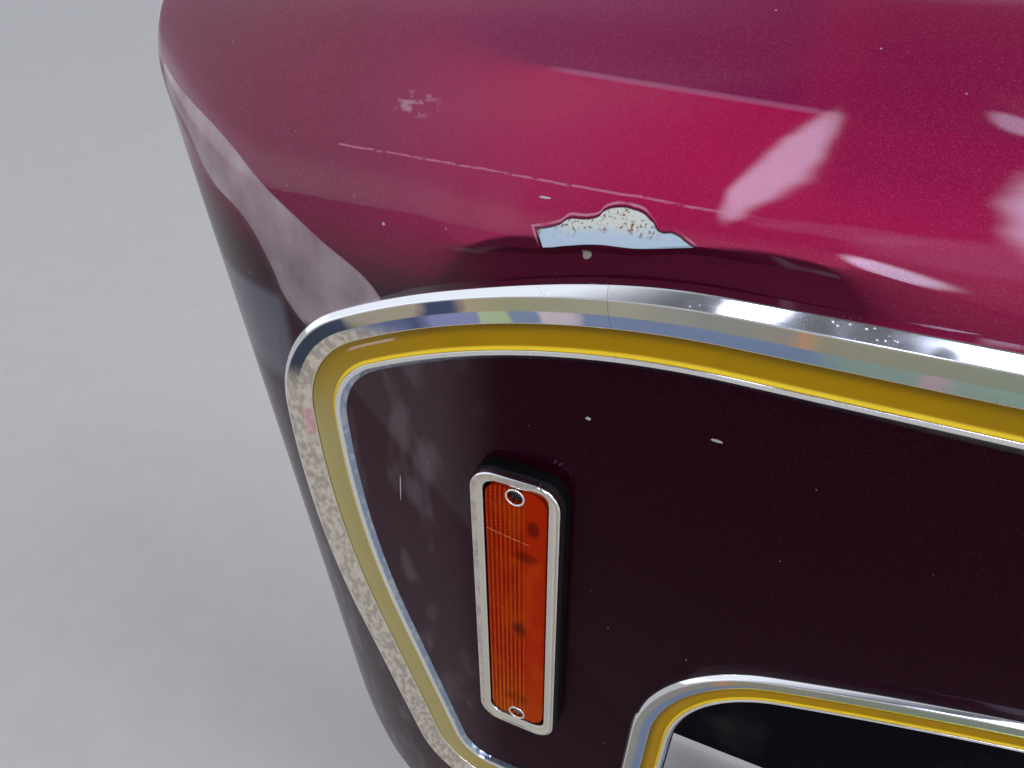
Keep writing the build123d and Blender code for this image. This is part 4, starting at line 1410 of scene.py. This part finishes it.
def amber_finish():
    """Amber plastic: beaded flutes to the front with painted highlights on them and painted shade
    between, painted shadows over the bulb, browner at its foot.
    """
    shade = Shade("amber_lens_plastic")
    at, (x, y, z) = shade.place()
    mottle = shade.noise(shade.stretch(at, (1, 1, 0.5)), 330, 4)
    broad = shade.noise(shade.stretch(at, (1, 1, 0.5)), 75, 3)
    stripe = ((x - (LAMP_X - LAMP_W / 2)) * (2 * pi / FLUTE_PITCH)).sin().over(-0.3, 0.9)
    bead = (z * (2 * pi / (2.1 * MM)) + (x * (2 * pi / (5 * MM)))).sin().over(-1.0, 1.0)
    fluted = x.over(LAMP_X + 7 * MM, LAMP_X + 3 * MM)
    low = z.over(LAMP_Z - 30 * MM, LAMP_Z - 85 * MM)
    body = shade.mix(low, (0.345, 0.0150, 0.0001), (0.36, 0.036, 0.0002))
    # Painted highlights on the flutes, and painted shade between them
    lit = shade.mix(low, (0.52, 0.056, 0.0004), (0.60, 0.125, 0.0010))
    shade_between_flutes = shade.mix(low, (0.170, 0.0055, 0.0001), (0.20, 0.021, 0.0002))
    upper = z.over(LAMP_Z - 10 * MM, LAMP_Z + 30 * MM)
    beads = shade.mix_value(upper, 0.75, bead)
    base = shade.mix(fluted * (1 - stripe) * 0.85, body, shade_between_flutes)
    base = shade.mix(stripe * fluted * beads * mottle.over(0.2, 0.6), base, lit)
    base = shade.mix(broad.over(0.5, 0.68) * 0.35, base, (0.42, 0.055, 0.0004))
    # Painted shadows of what lies behind the lens, the bulb among them
    for (u, v, w, h, strength) in LENS_SHADOWS:
        far = shade.spread(x - (LAMP_X + u), z - (LAMP_Z + v), w, h) + (broad - 0.5) * 1.2
        base = shade.mix(far.over(1.1, 0.4) * strength, base, (0.045, 0.0015, 0.0001))
    line = z - (LAMP_Z + 56 * MM) + (x - LAMP_X) * 0.13
    thin = abs(line).over(0.35 * MM, 0.12 * MM) * mottle.over(0.3, 0.5)
    thin = thin * x.over(LAMP_X + 8 * MM, LAMP_X + 6 * MM)
    base = shade.mix(thin * 0.5, base, (0.75, 0.38, 0.16))
    return shade.finish(
        Base_Color=base, Roughness=0.34 + mottle * 0.2, Specular_IOR_Level=0.03,
        Normal=shade.bump(mottle, 0.30, 0.0006),
    )


def rubber_finish():
    """Black rubber, greyed by dust in places."""
    shade = Shade("black_gasket_rubber")
    at = shade.object_place()
    grain = shade.noise(at, 700, 3)
    dust = shade.noise(at, 60, 5)
    return shade.finish(
        Base_Color=shade.mix(dust.over(0.60, 0.85), (0.0012, 0.0010, 0.0016), (0.020, 0.018, 0.018)),
        Roughness=0.50 + grain * 0.2, Specular_IOR_Level=0.18, Normal=shade.bump(grain, 0.2, 0.0003),
    )


def undercoat_finish():
    """Matt black undercoat, dusty in places."""
    shade = Shade("black_undercoat")
    at = shade.object_place()
    grain = shade.noise(at, 260, 4)
    dust = shade.noise(at, 14, 4)
    return shade.finish(
        Base_Color=shade.mix(dust.over(0.5, 0.8), (0.0015, 0.0016, 0.0040), (0.020, 0.018, 0.016)),
        Roughness=0.75 + grain * 0.15, Specular_IOR_Level=0.10, Normal=shade.bump(grain, 0.4, 0.001),
    )


def worn_finish(name, dark, worn, wear, roughness, metallic):
    """A plain coat or plating that turns to its worn colour in patches."""
    shade = Shade(name)
    at = shade.object_place()
    broad = shade.noise(at, 40, 5, 0.62)
    fine = shade.noise(at, 380, 3)
    return shade.finish(
        Base_Color=shade.mix(broad.over(*wear), dark, worn),
        Metallic=metallic, Roughness=roughness + fine * 0.2, Normal=shade.bump(fine, 0.25, 0.0004),
    )


def dress_nodes(finishes):
    """Better finishes for the CAD pieces that stay."""
    for node, finish in finishes.items():
        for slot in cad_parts[node].material_slots:
            slot.material = finish


# Studio

def set_camera():
    """The camera of the photograph, turned down, forward and a little over."""
    down, forward, roll = CAMERA_DOWN, CAMERA_FORWARD, CAMERA_ROLL
    view = Vector((-sin(forward) * cos(down), cos(forward) * cos(down), -sin(down)))
    right = Vector((cos(forward), sin(forward), 0))
    below = view.cross(right)
    turned_right = right * cos(roll) + below * sin(roll)
    below = below * cos(roll) - right * sin(roll)
    data = bpy.data.cameras.new("photo_view")
    data.lens, data.sensor_width, data.clip_start = LENS_MM, 36, 0.01
    camera = bpy.data.objects.new("photo_view", data)
    axes = Matrix((turned_right, -below, -view)).transposed().to_4x4()
    camera.matrix_world = Matrix.Translation(CAMERA_AT) @ axes
    bpy.context.scene.collection.objects.link(camera)
    bpy.context.scene.camera = camera


def soft_light(name, size, watts, at, towards):
    """A square area lamp that points from one place towards another."""
    data = bpy.data.lights.new(name, "AREA")
    data.shape, data.size, data.energy = "SQUARE", size, watts
    light = bpy.data.objects.new(name, data)
    aim = (Vector(towards) - Vector(at)).to_track_quat("-Z", "Y").to_matrix().to_4x4()
    light.matrix_world = Matrix.Translation(at) @ aim
    bpy.context.scene.collection.objects.link(light)


def set_floor():
    """A plain pale floor under the part."""
    shade = Shade("pale_floor")
    at = shade.object_place()
    grain = shade.noise(at, 30, 2)
    material = shade.finish(
        Base_Color=shade.mix(grain, (0.45, 0.435, 0.41), (0.50, 0.485, 0.46)), Roughness=0.9
    )
    reach, z = FLOOR_REACH, REAR_BOTTOM_Z - 1 * MM
    corners = [(-reach, -reach, z), (reach, -reach, z), (reach, reach, z), (-reach, reach, z)]
    mesh_piece("floor", corners, [[0, 1, 2, 3]], material)


class Sky(Shade):
    """The world's own nodes: how bright each direction is."""

    def __init__(self):
        self.world = bpy.data.worlds.new("studio")
        bpy.context.scene.world = self.world
        self.world.use_nodes = True
        self.tree = self.world.node_tree
        self.background = self.tree.nodes["Background"]

    def angle(self, op, a, b):
        return self.node("ShaderNodeMath", {"operation": op}, {0: a, 1: b}) * (180 / pi)


# Bright patches of the sky in degrees round and up: middle, half size, lean, then strength
SKY_PATCHES = [
    ((-6.5, 43), (2.9, 24), (0.02, 0.0), 7.5),
    ((14.5, 31), (4.2, 18), (0.0, 0.0), 7.5),
    ((5.0, 7.3), (3.6, 3.0), (0.0, -0.9), 12.0),
    ((20.0, 66), (3.5, 5.0), (0.0, 0.0), 5.0),
    ((11.0, 17), (9.0, 6.5), (0.0, 0.0), 0.75),
    ((1.0, 21.5), (6.0, 3.2), (0.0, 0.0), 0.60),
]


def set_sky():
    """Bright to the front, behind and low down, dark overhead, with a few bright gaps."""
    sky = Sky()
    at = sky.node("ShaderNodeTexCoord", out="Generated")
    x, y, z = sky.parts(at)
    # Degrees round from straight out of the panel's side, to the rear if positive, and up
    turn = sky.angle("ARCTAN2", x, -y)
    up = sky.angle("ARCSINE", z, 0.0)
    place = sky.node("ShaderNodeCombineXYZ", {}, {"X": turn, "Y": up})
    crossed = sky.node("ShaderNodeCombineXYZ", {}, {"X": up, "Y": turn})
    ragged = (sky.noise(at, 9, 1) - 0.5) * 0.45
    front = turn.over(-14, -40) * turn.over(-178, -120) * up.over(95, 40)
    low = up.over(-6, 2) * up.over(16, 6)
    back = abs(turn).over(120, 150) * up.over(2, 10) * up.over(62, 50)
    side = turn.over(20, 27) * turn.over(150, 110) * up.over(80, 62)
    level = 0.14 + front * 0.85 + low * 0.45 + back * 0.85 + side * 0.80
    gaps = 0.0
    for (u, v), (w, h), (a, b), strength in SKY_PATCHES:
        middle = ((a * v - u) / w, (b * u - v) / h, 0)
        if a or b:
            middle = sky.vector("MULTIPLY_ADD", crossed, (-a / w, -b / h, 0), middle)
        off = sky.vector("MULTIPLY_ADD", place, (1 / w, 1 / h, 0), middle)
        gap = (sky.vector("LENGTH", off, out="Value") + ragged).over(1.2, 0.6)
        gaps = gap + gaps
        level = level + gap * strength
    sky.tree.links.new(level.out, sky.background.inputs["Strength"])
    colour = sky.mix(gaps.clamp(), (0.86, 0.90, 1.0), (0.86, 0.92, 1.28))
    sky.tree.links.new(colour.out, sky.background.inputs["Color"])


FLOOR_REACH = 9.0
KEY_SIZE, KEY_WATTS = 1.6, 55
KEY_AT, KEY_TOWARDS = (2.0, -0.2, 2.3), (-0.2, -0.1, -0.1)

paint = paint_finish()
bright = moulding_finish()
bezel = bezel_finish()
steel = worn_finish("zinc_plated_steel", (0.42, 0.41, 0.38), (0.20, 0.12, 0.07), (0.5, 0.75), 0.3, 0.9)
black_steel = worn_finish(
    "black_painted_steel", (0.012, 0.012, 0.013), (0.055, 0.045, 0.04), (0.55, 0.8), 0.35, 0.0
)
rubber = rubber_finish()
plastic = worn_finish(
    "black_lamp_plastic", (0.018, 0.018, 0.019), (0.04, 0.04, 0.04), (0.5, 0.8), 0.35, 0.0
)
make_panel(paint, inside_finish())
make_mouldings(bright, yellow_finish())
make_gasket(rubber)
make_bezel(bright)
make_lens(amber_finish())
make_screws(steel, black_steel, bezel)
dress_nodes({
    "front_brace": black_steel, "bracket_rear_upper": black_steel, "bracket_rear_lower": black_steel,
    "wheelhouse_liner": undercoat_finish(),
    "hood_stops": rubber, "lamp_housing": plastic, "lamp_socket": plastic, "lamp_bulb": steel,
})
set_camera()
set_floor()
set_sky()
soft_light("key", KEY_SIZE, KEY_WATTS, KEY_AT, KEY_TOWARDS)
bpy.context.scene.view_settings.view_transform = "Standard"
